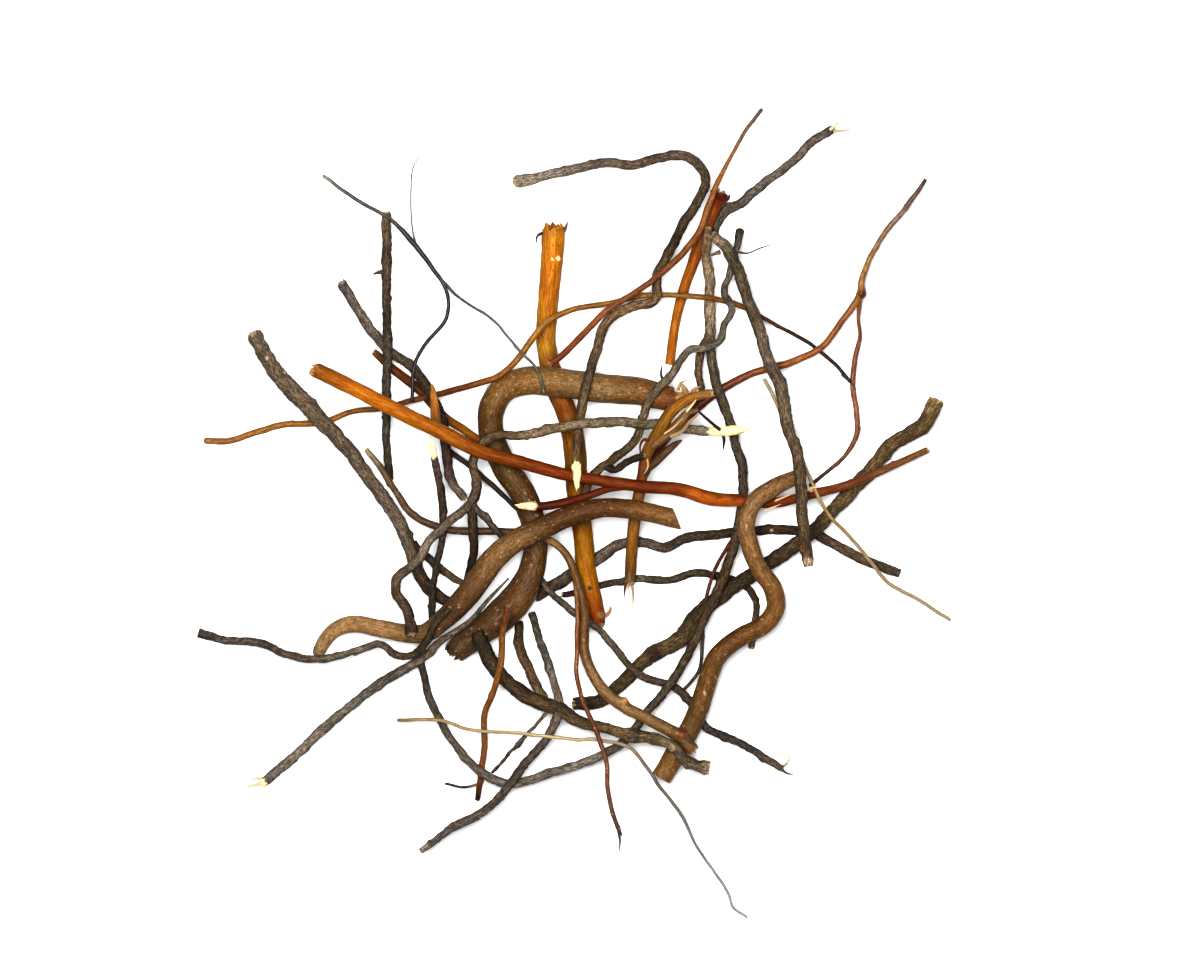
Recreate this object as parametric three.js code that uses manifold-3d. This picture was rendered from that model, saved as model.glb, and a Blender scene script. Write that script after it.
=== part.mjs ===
// A tangle of dry roots: cut lengths of several kinds of root, heaped flat and hooked into each other.
// Every root is one solid, and a root that forks is one solid with its branches.
// Units are millimetres, +Z is up and the heap rests on z = 0, centred on the origin.

import Module from 'manifold-3d';
import * as THREE from 'three';
import { mergeVertices } from 'three/addons/utils/BufferGeometryUtils.js';

const wasm = await Module();
wasm.setup();
const { clamp, lerp } = THREE.MathUtils;

// Driving dimensions.
const RING_SPACING = 8.5; // between two rings of a root's surface
const THICK_ROOT = 9; // a root at least this thick has the finer section
const THICK_SIDES = 8;
const THIN_SIDES = 6;
const CLEARANCE = 1; // left between two roots that lie on each other
const MERGE_DISTANCE = 1e-4;

// Bark and wood finishes.
const FINISHES = {
  brown: { color: 0x8a6844, roughness: 0.8 },
  grey: { color: 0x5c5044, roughness: 0.9 },
  orange: { color: 0xd9731f, roughness: 0.6 },
  russet: { color: 0xa85f28, roughness: 0.65 },
  tan: { color: 0x9c744c, roughness: 0.75 },
  yellow: { color: 0xd9a85a, roughness: 0.6 },
  black: { color: 0x2a2a2c, roughness: 0.7 },
};

// The roots. A route is a list of points seen from above: x, y and the root's thickness there.
// A branch starts on its own root's route. Where two roots cross, the one laid at the later
// turn is on top, except for the pairs in HOOKED_OVER.
const ROOTS = [
  // The topmost thick root, curling down to a thin tip at its left end.
  {
    name: 'front_brown_root',
    bark: 'brown',
    strands: [
      {
        turn: 80,
        route: [
          [-142, -80, 6.5], [-137, -71, 7.5], [-131, -65, 8], [-122, -62, 9], [-108, -64, 9],
          [-93, -67, 9.5], [-82, -67, 10], [-72, -60, 11], [-61, -49, 12.5], [-51, -36, 13],
          [-44, -26, 13], [-33, -17, 12], [-17, -9, 11.5], [-1, -2, 11], [16, 2, 10], [34, 1, 10],
          [57, -4, 10],
        ],
      },
    ],
  },
  // A thick S-shaped root down the right side, sawn square at its foot.
  {
    name: 'right_brown_root',
    bark: 'brown',
    strands: [
      {
        turn: 47,
        route: [
          [122, 19, 7.5], [110, 13, 9], [100, 6, 9], [95, -6, 9.5], [97, -18, 9.5], [102, -31, 9.5],
          [110, -43, 10], [111, -53, 10], [105, -62, 10], [92, -69, 10], [79, -80, 10],
          [73, -96, 10], [68, -111, 10.5], [60, -127, 11], [48, -147, 11],
        ],
      },
    ],
  },
  // The thickest root, bent into a hook, torn at one end and chipped at the other.
  {
    name: 'hooked_brown_root',
    bark: 'brown',
    strands: [
      {
        turn: 30,
        route: [
          [66, 62, 7.5], [54, 62, 12.5], [37, 66, 15], [15, 68, 15.5], [-7, 71, 15.5],
          [-24, 72, 15], [-37, 68, 14.5], [-45, 57, 14], [-45, 42, 13], [-38, 25, 14],
          [-28, 10, 14], [-22, -7, 13], [-21, -24, 13], [-27, -41, 14.5], [-40, -56, 14.5],
          [-53, -67, 14.5], [-66, -78, 13],
        ],
      },
    ],
  },
  // A nearly straight root with a pointed side stub and a peeled fork.
  {
    name: 'long_orange_root',
    bark: 'orange',
    strands: [
      {
        turn: 70,
        route: [
          [-142, 78, 8], [-123, 69, 8], [-98, 56, 8], [-73, 44, 8], [-51, 33, 7.5], [-29, 27, 7],
          [-7, 21, 6.5], [15, 17, 6], [37, 14, 6.5], [59, 12, 7], [76, 7, 7.5], [94, 6, 6.5],
          [111, 5, 5.5], [133, 10, 5], [152, 15, 4.5], [171, 23, 4], [195, 34, 3.5],
        ],
      },
      {
        branch: 'stub',
        turn: 70,
        route: [
          [-75, 44, 5.5], [-76, 55, 5], [-77, 65, 3.5], [-78, 70, 1.5],
        ],
      },
      {
        branch: 'fork',
        turn: 70,
        route: [
          [37, 14, 4], [21, 13, 4], [9, 9, 4], [-1, 6, 4.5], [-16, 3, 4.5], [-29, 3, 5],
        ],
      },
    ],
  },
  // The thick barkless root that stands out through the middle.
  {
    name: 'upright_orange_root',
    bark: 'orange',
    strands: [
      {
        turn: 12,
        route: [
          [-11, 156, 12.5], [-12, 138, 11.5], [-14, 116, 11], [-15, 92, 10.5], [-10, 70, 11],
          [-2, 49, 11.5], [1, 31, 12], [2, 12, 11.5], [5, -10, 10.5], [7, -32, 10.5], [11, -50, 10],
          [14, -62, 7.5],
        ],
      },
    ],
  },
  // A short tapering root at the top right.
  {
    name: 'short_orange_root',
    bark: 'orange',
    strands: [
      {
        turn: 20,
        route: [
          [81, 176, 7], [77, 166, 6.5], [71, 152, 6.5], [66, 137, 6], [61, 123, 5.5], [56, 103, 5],
          [53, 81, 5],
        ],
      },
    ],
  },
  // A split root whose lower end is splintered.
  {
    name: 'torn_orange_root',
    bark: 'orange',
    strands: [
      {
        turn: 50,
        route: [
          [76, 65, 4.5], [64, 62, 5.5], [54, 55, 6.5], [47, 44, 7], [41, 33, 6.5], [38, 20, 5.5],
          [36, 9, 6], [33, -10, 6.5], [31, -39, 6],
        ],
      },
    ],
  },
  // A slim root under the upper left crossings.
  {
    name: 'slim_orange_root',
    bark: 'orange',
    strands: [
      {
        turn: 12,
        route: [
          [-110, 88, 3.5], [-100, 79, 4.5], [-84, 66, 5], [-72, 53, 4.5], [-59, 44, 4.5],
          [-45, 34, 4],
        ],
      },
    ],
  },
  // A long thin root that crosses the whole tangle from left to right.
  {
    name: 'long_russet_root',
    bark: 'russet',
    strands: [
      {
        turn: 40,
        route: [
          [-204, 39, 3.5], [-190, 39, 3.5], [-177, 43, 3.5], [-159, 48, 3.5], [-139, 49, 3.5],
          [-122, 55, 3], [-105, 57, 3], [-90, 61, 3], [-73, 65, 3.5], [-54, 70, 3.5],
          [-40, 75, 3.5], [-29, 86, 3.5], [-16, 103, 3.5], [-1, 111, 3], [17, 114, 3], [42, 119, 3],
          [70, 118, 3], [90, 114, 3], [111, 103, 2], [131, 92, 2], [144, 81, 2], [153, 71, 2],
        ],
      },
    ],
  },
  // A thin root that comes down from the highest tip.
  {
    name: 'top_russet_root',
    bark: 'russet',
    strands: [
      {
        turn: 62,
        route: [
          [104, 222, 2], [95, 210, 2], [87, 196, 2], [78, 178, 3], [74, 167, 3.5], [70, 156, 3.5],
          [62, 144, 3.5], [48, 131, 3.5], [35, 121, 3.5], [19, 111, 3.5], [6, 98, 3.5],
          [-6, 86, 3.5], [-13, 81, 4],
        ],
      },
    ],
  },
  // A thin root with a knot, where a thinner one forks off and hangs down.
  {
    name: 'right_russet_root',
    bark: 'russet',
    strands: [
      {
        turn: 28,
        route: [
          [194, 183, 2], [185, 170, 3], [172, 154, 3], [163, 139, 3], [159, 128, 3.5],
          [158, 120, 4], [150, 108, 3.5], [136, 90, 3.5], [119, 82, 4], [98, 76, 4], [81, 67, 4.5],
          [70, 59, 5], [60, 50, 5], [51, 40, 5], [43, 28, 4.5], [38, 18, 4.5],
        ],
      },
      {
        branch: 'fork',
        turn: 28,
        route: [
          [158, 120, 3], [157, 106, 2], [158, 97, 2], [155, 83, 3], [154, 70, 3], [156, 55, 3],
          [156, 42, 3], [149, 30, 2], [139, 21, 2], [130, 14, 2],
        ],
      },
    ],
  },
  // A thin root that hangs out at the bottom left, with one side twig.
  {
    name: 'lower_russet_root',
    bark: 'russet',
    strands: [
      {
        turn: 50,
        route: [
          [-36, -52, 3.5], [-39, -68, 3.5], [-40, -84, 3.5], [-44, -99, 3.5], [-49, -112, 3.5],
          [-49, -130, 3.5], [-51, -145, 3.5], [-53, -159, 3],
        ],
      },
      {
        branch: 'twig',
        turn: 50,
        route: [
          [-52, -150, 1.5], [-61, -152, 1.5], [-71, -150, 1.5],
        ],
      },
    ],
  },
  // A long pale root that thickens to the right, with a thin rootlet from its middle.
  {
    name: 'long_tan_root',
    bark: 'tan',
    strands: [
      {
        turn: 49,
        route: [
          [-114, 34, 3], [-106, 24, 3.5], [-98, 11, 3.5], [-88, -2, 4], [-73, -9, 4], [-57, -11, 4],
          [-38, -11, 4], [-21, -13, 4], [-6, -21, 4], [2, -38, 4.5], [6, -57, 5], [6, -76, 5.5],
          [10, -88, 5.5], [17, -99, 6.5], [29, -108, 6], [43, -115, 6.5], [57, -123, 6.5],
          [66, -131, 6],
        ],
      },
      {
        branch: 'rootlet',
        turn: 56,
        route: [
          [1, -37, 3], [2, -52, 2.5], [2, -71, 2.5], [2, -90, 2.5], [6, -106, 2.5], [13, -122, 2.5],
          [18, -137, 2.5], [19, -153, 2.5], [22, -167, 2.5], [26, -178, 2],
        ],
      },
    ],
  },
  // A yellow rootlet that trails out to the right.
  {
    name: 'right_yellow_rootlet',
    bark: 'yellow',
    strands: [
      {
        turn: 72,
        route: [
          [105, 73, 2], [111, 61, 2], [118, 46, 2], [125, 31, 2], [131, 16, 2], [140, -1, 2],
          [153, -15, 2], [164, -28, 2], [173, -39, 2], [189, -48, 2], [208, -60, 2],
        ],
      },
    ],
  },
  // A yellow rootlet that runs along the bottom and trails off as a hair.
  {
    name: 'lower_yellow_rootlet',
    bark: 'yellow',
    strands: [
      {
        turn: 55,
        route: [
          [-97, -115, 2], [-73, -115, 2], [-57, -120, 2], [-29, -122, 2], [-2, -125, 2],
          [17, -126, 2], [31, -130, 2], [39, -139, 2], [48, -152, 2], [60, -168, 2],
          [67, -183, 1.5], [75, -195, 1.5], [85, -210, 1.5], [88, -218, 1.5], [96, -224, 1.5],
        ],
      },
    ],
  },
  // The thick wrinkled root at the left, with one short fork.
  {
    name: 'left_grey_root',
    bark: 'grey',
    strands: [
      {
        turn: 44,
        route: [
          [-176, 98, 8], [-168, 83, 8], [-156, 68, 9], [-139, 50, 8], [-124, 34, 7.5],
          [-109, 13, 7], [-96, -6, 7], [-90, -21, 7], [-83, -38, 6.5], [-73, -48, 6], [-61, -53, 5],
        ],
      },
      {
        branch: 'fork',
        turn: 44,
        route: [
          [-89, -18, 4.5], [-80, -26, 4], [-70, -34, 4], [-58, -42, 3.5],
        ],
      },
    ],
  },
  // The thick wrinkled root from the right edge to the bottom.
  {
    name: 'right_grey_root',
    bark: 'grey',
    strands: [
      {
        turn: 10,
        route: [
          [200, 61, 8], [192, 47, 8], [177, 38, 7.5], [162, 21, 7.5], [148, 6, 7.5],
          [133, -10, 7.5], [116, -23, 7.5], [95, -37, 7.5], [80, -47, 8], [67, -60, 9],
          [59, -70, 8], [43, -79, 7.5], [28, -93, 7], [15, -104, 7], [0, -106, 6.5],
        ],
      },
    ],
  },
  // A wrinkled root that lies over everything at the right.
  {
    name: 'leaning_grey_root',
    bark: 'grey',
    strands: [
      {
        turn: 75,
        route: [
          [77, 152, 5], [84, 145, 6], [90, 134, 6.5], [95, 119, 6], [101, 103, 6], [106, 86, 6],
          [114, 68, 6.5], [117, 50, 6.5], [123, 31, 6], [125, 12, 6], [126, -10, 5.5],
          [129, -30, 5.5],
        ],
      },
    ],
  },
  // A bumpy root on the floor of the tangle.
  {
    name: 'middle_grey_root',
    bark: 'grey',
    strands: [
      {
        turn: 5,
        route: [
          [-21, -47, 6.5], [-5, -37, 6.5], [12, -27, 6], [26, -18, 5.5], [39, -17, 5], [50, -20, 5],
          [61, -15, 5], [75, -13, 5], [94, -11, 5], [114, -10, 5], [131, -12, 5], [147, -20, 5],
          [163, -28, 5], [180, -34, 5],
        ],
      },
    ],
  },
  // A slim root beside it that turns down at the right.
  {
    name: 'slim_grey_root',
    bark: 'grey',
    strands: [
      {
        turn: 8,
        route: [
          [-6, -46, 3], [6, -44, 3], [17, -40, 3.5], [37, -37, 3.5], [52, -38, 4], [68, -34, 4],
          [85, -37, 4], [96, -42, 3.5], [101, -51, 3.5], [100, -63, 3.5], [98, -75, 3.5],
        ],
      },
    ],
  },
  // A wrinkled root that arches over the top and comes down the middle.
  {
    name: 'arched_grey_root',
    bark: 'grey',
    strands: [
      {
        turn: 60,
        route: [
          [-32, 182, 6], [-16, 185, 5], [2, 189, 5], [16, 192, 5], [32, 191, 5], [48, 195, 5],
          [60, 196, 5], [69, 191, 5], [73, 182, 5], [68, 170, 5], [61, 159, 5], [54, 145, 5],
          [46, 130, 5], [45, 117, 5], [31, 112, 5], [18, 104, 5], [13, 89, 5], [8, 72, 5],
          [4, 55, 5], [2, 36, 4.5], [2, 15, 4.5],
        ],
      },
    ],
  },
  // A short wrinkled root to the upper right tip.
  {
    name: 'top_grey_root',
    bark: 'grey',
    strands: [
      {
        turn: 10,
        route: [
          [143, 211, 4.5], [133, 205, 4.5], [123, 195, 4.5], [109, 184, 4.5], [99, 176, 5],
          [92, 170, 5], [84, 166, 5.5], [80, 161, 5.5], [77, 154, 5],
        ],
      },
    ],
  },
  // The longest root: down the right, along the bottom and up the left, with one short fork.
  {
    name: 'long_grey_root',
    bark: 'grey',
    strands: [
      {
        turn: 35,
        route: [
          [74, 156, 4.5], [73, 144, 5], [75, 127, 5.5], [75, 105, 5.5], [76, 84, 5], [79, 68, 5],
          [85, 53, 5], [89, 38, 5], [93, 23, 5], [93, 6, 5], [89, -16, 5], [82, -38, 5],
          [73, -57, 4.5], [66, -72, 4.5], [54, -94, 4.5], [41, -110, 4.5], [26, -128, 4.5],
          [6, -138, 4.5], [-13, -144, 4.5], [-36, -150, 4.5], [-51, -143, 4.5], [-64, -130, 4],
          [-75, -112, 4], [-81, -97, 4], [-84, -83, 3.5],
        ],
      },
      {
        branch: 'fork',
        turn: 35,
        route: [
          [75, 97, 4], [70, 88, 4], [69, 76, 4], [71, 66, 3.5],
        ],
      },
    ],
  },
  // A crooked root with a small curl near its end.
  {
    name: 'wiggly_grey_root',
    bark: 'grey',
    strands: [
      {
        turn: 55,
        route: [
          [92, 156, 4], [90, 147, 3.5], [86, 131, 3.5], [83, 121, 3.5], [87, 111, 3.5],
          [83, 103, 3.5], [81, 94, 3.5], [72, 90, 4], [64, 89, 4], [59, 83, 4], [52, 73, 4.5],
          [42, 62, 4.5], [38, 50, 4.5], [33, 38, 4.5], [21, 28, 4.5], [11, 20, 4.5], [4, 6, 4],
          [-1, 0, 4],
        ],
      },
      {
        branch: 'curl',
        turn: 55,
        route: [
          [17, 25, 3.5], [23, 23, 3.5], [30, 27, 3.5], [39, 31, 3.5],
        ],
      },
    ],
  },
  // A crooked root, peeled at its right end, that breaks into three below.
  {
    name: 'peeled_grey_root',
    bark: 'grey',
    strands: [
      {
        turn: 65,
        route: [
          [94, 45, 5], [79, 44, 5], [64, 45, 4.5], [42, 48, 5], [26, 49, 5], [4, 48, 5],
          [-13, 45, 5], [-29, 42, 4.5], [-45, 41, 4.5], [-53, 34, 4.5], [-55, 26, 4.5],
          [-53, 16, 5], [-56, 5, 5], [-68, -5, 4.5], [-79, -16, 4.5], [-86, -28, 4.5],
          [-97, -37, 5], [-97, -45, 5], [-91, -55, 5], [-89, -67, 6],
        ],
      },
      {
        branch: 'second',
        turn: 65,
        route: [
          [-56, 5, 5], [-55, -10, 5], [-55, -22, 4.5], [-60, -43, 4],
        ],
      },
      {
        branch: 'third',
        turn: 65,
        route: [
          [-55, 3, 4], [-48, -4, 3.5], [-42, -11, 3.5], [-36, -17, 3],
        ],
      },
    ],
  },
  // A knotty root at the upper left.
  {
    name: 'slanting_grey_root',
    bark: 'grey',
    strands: [
      {
        turn: 45,
        route: [
          [-128, 126, 5], [-121, 115, 5], [-113, 102, 5], [-102, 89, 5], [-89, 80, 5],
          [-81, 68, 5.5], [-73, 53, 5], [-70, 34, 5], [-67, 17, 5], [-60, 7, 4.5],
        ],
      },
    ],
  },
  // A straight root, torn off at the top.
  {
    name: 'straight_grey_root',
    bark: 'grey',
    strands: [
      {
        turn: 48,
        route: [
          [-103, 164, 5], [-103, 138, 5], [-103, 111, 4.5], [-102, 89, 5], [-103, 61, 4.5],
          [-103, 37, 4], [-101, 18, 4],
        ],
      },
    ],
  },
  // A short straight root beside it.
  {
    name: 'short_grey_root',
    bark: 'grey',
    strands: [
      {
        turn: 50,
        route: [
          [-78, 39, 3.5], [-75, 23, 4], [-72, 4, 4], [-72, -13, 4], [-76, -32, 3.5],
          [-78, -49, 3.5], [-78, -59, 3.5],
        ],
      },
    ],
  },
  // A wavy root out to the left edge.
  {
    name: 'outer_grey_root',
    bark: 'grey',
    strands: [
      {
        turn: 85,
        route: [
          [-207, -67, 4.5], [-192, -71, 4], [-171, -73, 4], [-157, -79, 4], [-139, -81, 4],
          [-123, -78, 3.5], [-106, -73, 4], [-97, -79, 4], [-89, -79, 4], [-81, -72, 4],
          [-76, -62, 4], [-68, -53, 3.5],
        ],
      },
    ],
  },
  // A straight root out to the lower left, splintered at its tip.
  {
    name: 'splintered_grey_root',
    bark: 'grey',
    strands: [
      {
        turn: 38,
        route: [
          [-172, -150, 5], [-156, -137, 5], [-137, -119, 5], [-120, -105, 5], [-104, -93, 5],
          [-88, -84, 5], [-77, -76, 4.5],
        ],
      },
    ],
  },
  // A gnarled crown piece with four roots growing out of it.
  {
    name: 'gnarled_grey_root',
    bark: 'grey',
    strands: [
      {
        turn: 48,
        route: [
          [-53, -67, 7], [-45, -83, 7.5], [-35, -95, 7.5], [-21, -104, 7.5], [-7, -109, 7],
          [4, -116, 6], [17, -119, 5.5], [32, -123, 5.5], [45, -125, 5], [56, -130, 5],
          [62, -138, 5], [74, -141, 5.5],
        ],
      },
      {
        branch: 'second',
        turn: 20,
        route: [
          [-16, -106, 5], [-23, -90, 5], [-29, -77, 5], [-30, -61, 4.5],
        ],
      },
      {
        branch: 'third',
        turn: 20,
        route: [
          [-7, -109, 4.5], [-12, -89, 4], [-18, -73, 4], [-23, -56, 4],
        ],
      },
      {
        branch: 'fourth',
        turn: 48,
        route: [
          [-7, -109, 5], [-15, -125, 4.5], [-26, -138, 4.5], [-37, -153, 4.5], [-49, -165, 4.5],
          [-65, -173, 4.5], [-84, -187, 3],
        ],
      },
      {
        branch: 'fifth',
        turn: 48,
        route: [
          [-12, -107, 2], [-21, -118, 2], [-34, -132, 2], [-45, -144, 1.5],
        ],
      },
    ],
  },
  // A thin root to the lower right with a frayed tip and one rootlet.
  {
    name: 'frayed_grey_root',
    bark: 'grey',
    strands: [
      {
        turn: 15,
        route: [
          [-22, -33, 3.5], [-12, -45, 3.5], [1, -56, 3.5], [15, -66, 3.5], [24, -77, 3.5],
          [37, -90, 4], [56, -97, 4], [66, -107, 4], [73, -119, 4], [89, -126, 4], [104, -135, 4],
          [115, -142, 3.5],
        ],
      },
      {
        branch: 'rootlet',
        turn: 30,
        route: [
          [60, -99, 2], [69, -88, 2], [71, -71, 2], [72, -54, 2], [76, -37, 2], [82, -24, 2],
          [88, -15, 2],
        ],
      },
    ],
  },
  // A black rootlet at the upper left with one long hair.
  {
    name: 'black_rootlet',
    bark: 'black',
    strands: [
      {
        turn: 52,
        route: [
          [-138, 185, 2], [-120, 172, 2], [-101, 161, 2], [-90, 150, 3], [-79, 136, 2.5],
          [-70, 121, 2], [-70, 106, 2], [-80, 94, 2], [-87, 82, 2], [-89, 60, 2],
        ],
      },
      {
        branch: 'hair',
        turn: 52,
        route: [
          [-75, 130, 2], [-62, 117, 1.5], [-45, 106, 1.5], [-31, 90, 1.5], [-20, 78, 1.5],
          [-16, 65, 1.5],
        ],
      },
    ],
  },
  // A short black rootlet in the middle.
  {
    name: 'short_black_rootlet',
    bark: 'black',
    strands: [
      {
        turn: 40,
        route: [
          [-71, 35, 3], [-57, 25, 3], [-43, 13, 3], [-31, 1, 2],
        ],
      },
    ],
  },
];

// Pairs of main strands that cross the other way round, the upper one first: these hold the heap together.
const HOOKED_OVER = [
  ['right_brown_root', 'long_orange_root'],
  ['gnarled_grey_root', 'long_tan_root'],
  ['long_grey_root', 'lower_russet_root'],
  ['arched_grey_root', 'long_orange_root'],
  ['torn_orange_root', 'peeled_grey_root'],
  ['peeled_grey_root', 'front_brown_root'],
  ['right_russet_root', 'long_russet_root'],
];

// Settling of the heap.
const CONTACT_RANGE = 5 * RING_SPACING; // rings further apart than this can't touch
const SETTLE_ROUNDS = 4000;
const FIRM_ROUNDS = 1000; // last rounds without weight, which clear the remaining contacts
const WEIGHT = 0.05; // fall per round at the start
const BEND_SHARE = 0.3;
const BEND_REACHES = [1, 3]; // spans, in rings, over which a thick root resists bending
const SLIM_ROOT = 4; // a root thinner than this bends more easily
const SLIM_BEND_REACHES = [1, 2];
const ROOTLET = 2.6; // and a rootlet more easily still
const ROOTLET_BEND_REACHES = [1];

// Rings of a strand along its route, lying on the floor.
function layStrand(rootName, { branch, turn, route }) {
  const plan = new THREE.CatmullRomCurve3(
    route.map(([x, y]) => new THREE.Vector3(x, y, 0)),
    false,
    'centripetal',
  );
  const steps = Math.max(2, Math.round(plan.getLength() / RING_SPACING));
  const thickest = Math.max(...route.map((point) => point[2]));
  const sides = thickest < THICK_ROOT ? THIN_SIDES : THICK_SIDES;
  let bendReaches = BEND_REACHES;
  if (thickest < SLIM_ROOT) bendReaches = SLIM_BEND_REACHES;
  if (thickest < ROOTLET) bendReaches = ROOTLET_BEND_REACHES;
  const rings = [];
  for (let i = 0; i <= steps; i++) {
    const along = plan.getUtoTmapping(i / steps);
    const { x, y } = plan.getPoint(along);
    const reach = along * (route.length - 1);
    const from = Math.min(Math.floor(reach), route.length - 2);
    const radius = lerp(route[from][2], route[from + 1][2], reach - from) / 2;
    const floor = radius * Math.cos(Math.PI / sides);
    rings.push({ x, y, radius, floor, z: floor });
  }
  return { root: rootName, main: !branch, turn, sides, bendReaches, rings };
}

// Nearest points of two segments seen from above, as shares s and t along them, and their distance.
function nearestInPlan(a, b, c, d) {
  const ux = b.x - a.x;
  const uy = b.y - a.y;
  const vx = d.x - c.x;
  const vy = d.y - c.y;
  const wx = c.x - a.x;
  const wy = c.y - a.y;
  const cross = ux * vy - uy * vx;
  if (Math.abs(cross) > 1e-9) {
    const s = (wx * vy - wy * vx) / cross;
    const t = (wx * uy - wy * ux) / cross;
    if (s >= 0 && s <= 1 && t >= 0 && t <= 1) return { s, t, distance: 0 };
  }
  const share = (value) => clamp(value, 0, 1);
  const ends = [];
  for (const t of [0, 1]) {
    const px = wx + t * vx;
    const py = wy + t * vy;
    ends.push({ s: share((px * ux + py * uy) / (ux * ux + uy * uy)), t });
  }
  for (const s of [0, 1]) {
    const px = s * ux - wx;
    const py = s * uy - wy;
    ends.push({ s, t: share((px * vx + py * vy) / (vx * vx + vy * vy)) });
  }
  for (const end of ends) {
    end.distance = Math.hypot(wx + end.t * vx - end.s * ux, wy + end.t * vy - end.s * uy);
  }
  return ends.reduce((best, end) => (end.distance < best.distance ? end : best));
}

function liesOver(a, b) {
  if (a.main && b.main) {
    if (HOOKED_OVER.some(([upper, lower]) => upper === a.root && lower === b.root)) return true;
    if (HOOKED_OVER.some(([upper, lower]) => upper === b.root && lower === a.root)) return false;
  }
  return a.turn > b.turn;
}

// Every pair of segments that would touch, with the height that the upper one needs over the lower.
function findContacts(strands) {
  const contacts = [];
  for (const upper of strands) {
    for (const lower of strands) {
      if (upper.root === lower.root || !liesOver(upper, lower)) continue;
      for (let i = 1; i < upper.rings.length; i++) {
        const [a, b] = [upper.rings[i - 1], upper.rings[i]];
        for (let j = 1; j < lower.rings.length; j++) {
          const [c, d] = [lower.rings[j - 1], lower.rings[j]];
          if (Math.hypot(a.x - c.x, a.y - c.y) > CONTACT_RANGE) continue;
          const { s, t, distance } = nearestInPlan(a, b, c, d);
          const touch = lerp(a.radius, b.radius, s) + lerp(c.radius, d.radius, t) + CLEARANCE;
          if (distance < touch) {
            contacts.push({ a, b, c, d, s, t, rise: Math.sqrt(touch * touch - distance * distance) });
          }
        }
      }
    }
  }
  return contacts;
}

// Each branch starts at the height of the ring it grows from.
function findForks(strands) {
  return strands
    .filter((strand) => !strand.main)
    .map((strand) => {
      const start = strand.rings[0];
      const own = strands.filter((other) => other.root === strand.root && other !== strand);
      const near = own.flatMap((other) => other.rings.slice(1));
      const gap = (ring) => Math.hypot(ring.x - start.x, ring.y - start.y);
      return [start, near.reduce((best, ring) => (gap(ring) < gap(best) ? ring : best))];
    });
}

// Lets the heap settle: roots fall, resist bending and push each other apart at their crossings.
function settle(strands) {
  const contacts = findContacts(strands);
  const forks = findForks(strands);
  for (let round = 0; round < SETTLE_ROUNDS + FIRM_ROUNDS; round++) {
    const fall = WEIGHT * Math.max(0, 1 - round / SETTLE_ROUNDS);
    for (const { rings, bendReaches } of strands) {
      for (const ring of rings) ring.z -= fall;
      for (const reach of bendReaches) {
        for (let i = reach; i < rings.length - reach; i++) {
          const [before, ring, after] = [rings[i - reach], rings[i], rings[i + reach]];
          const bend = BEND_SHARE * ((before.z + after.z) / 2 - ring.z);
          ring.z += bend;
          before.z -= bend / 2;
          after.z -= bend / 2;
        }
      }
    }
    for (const [start, ring] of forks) {
      start.z = (start.z + ring.z) / 2;
      ring.z = start.z;
    }
    for (const { a, b, c, d, s, t, rise } of contacts) {
      const lack = rise - (lerp(a.z, b.z, s) - lerp(c.z, d.z, t));
      if (lack <= 0) continue;
      const push = lack / ((1 - s) ** 2 + s ** 2 + (1 - t) ** 2 + t ** 2);
      a.z += push * (1 - s);
      b.z += push * s;
      c.z -= push * (1 - t);
      d.z -= push * t;
    }
    for (const { rings } of strands) {
      for (const ring of rings) ring.z = Math.max(ring.z, ring.floor);
    }
  }
}

// A strand's solid: a straight cylinder of unit radius, bent along the rings, with a flat side down.
function strandGeometry({ rings, sides }) {
  const curve = new THREE.CatmullRomCurve3(
    rings.map(({ x, y, z }) => new THREE.Vector3(x, y, z)),
    false,
    'centripetal',
  );
  const steps = rings.length - 1;
  const geometry = new THREE.CylinderGeometry(1, 1, 1, sides, steps, false, Math.PI / sides);
  const up = new THREE.Vector3(0, 0, 1);
  const frames = rings.map((ring, i) => {
    const tangent = curve.getTangent(i / steps);
    const side = tangent.clone().cross(up).normalize();
    return { side, rise: side.clone().cross(tangent) };
  });
  const position = geometry.attributes.position;
  for (let i = 0; i < position.count; i++) {
    const step = Math.round((position.getY(i) + 0.5) * steps);
    const { x, y, z, radius } = rings[step];
    const { side, rise } = frames[step];
    const place = new THREE.Vector3(x, y, z)
      .addScaledVector(side, radius * position.getX(i))
      .addScaledVector(rise, radius * position.getZ(i));
    position.setXYZ(i, place.x, place.y, place.z);
  }
  geometry.deleteAttribute('normal');
  geometry.deleteAttribute('uv');
  return mergeVertices(geometry, MERGE_DISTANCE);
}

function toSolid(geometry) {
  return new wasm.Manifold(
    new wasm.Mesh({
      numProp: 3,
      vertProperties: new Float32Array(geometry.attributes.position.array),
      triVerts: new Uint32Array(geometry.index.array),
    }),
  );
}

// One closed mesh from a root's strands, grown together.
function rootMesh({ name, bark }, strands) {
  const solids = strands.map((strand) => toSolid(strandGeometry(strand)));
  const whole = solids.reduce((sum, solid) => sum.add(solid)).getMesh();
  const geometry = new THREE.BufferGeometry();
  geometry.setAttribute('position', new THREE.BufferAttribute(new Float32Array(whole.vertProperties), 3));
  geometry.setIndex(new THREE.BufferAttribute(new Uint32Array(whole.triVerts), 1));
  geometry.computeVertexNormals();
  const finish = new THREE.MeshStandardMaterial({ ...FINISHES[bark], metalness: 0 });
  const mesh = new THREE.Mesh(geometry, finish);
  mesh.name = name;
  return mesh;
}

const strands = ROOTS.flatMap((root) => root.strands.map((strand) => layStrand(root.name, strand)));
settle(strands);

const tangle = new THREE.Group();
for (const root of ROOTS) {
  tangle.add(rootMesh(root, strands.filter((strand) => strand.root === root.name)));
}

export default tangle;
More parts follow.
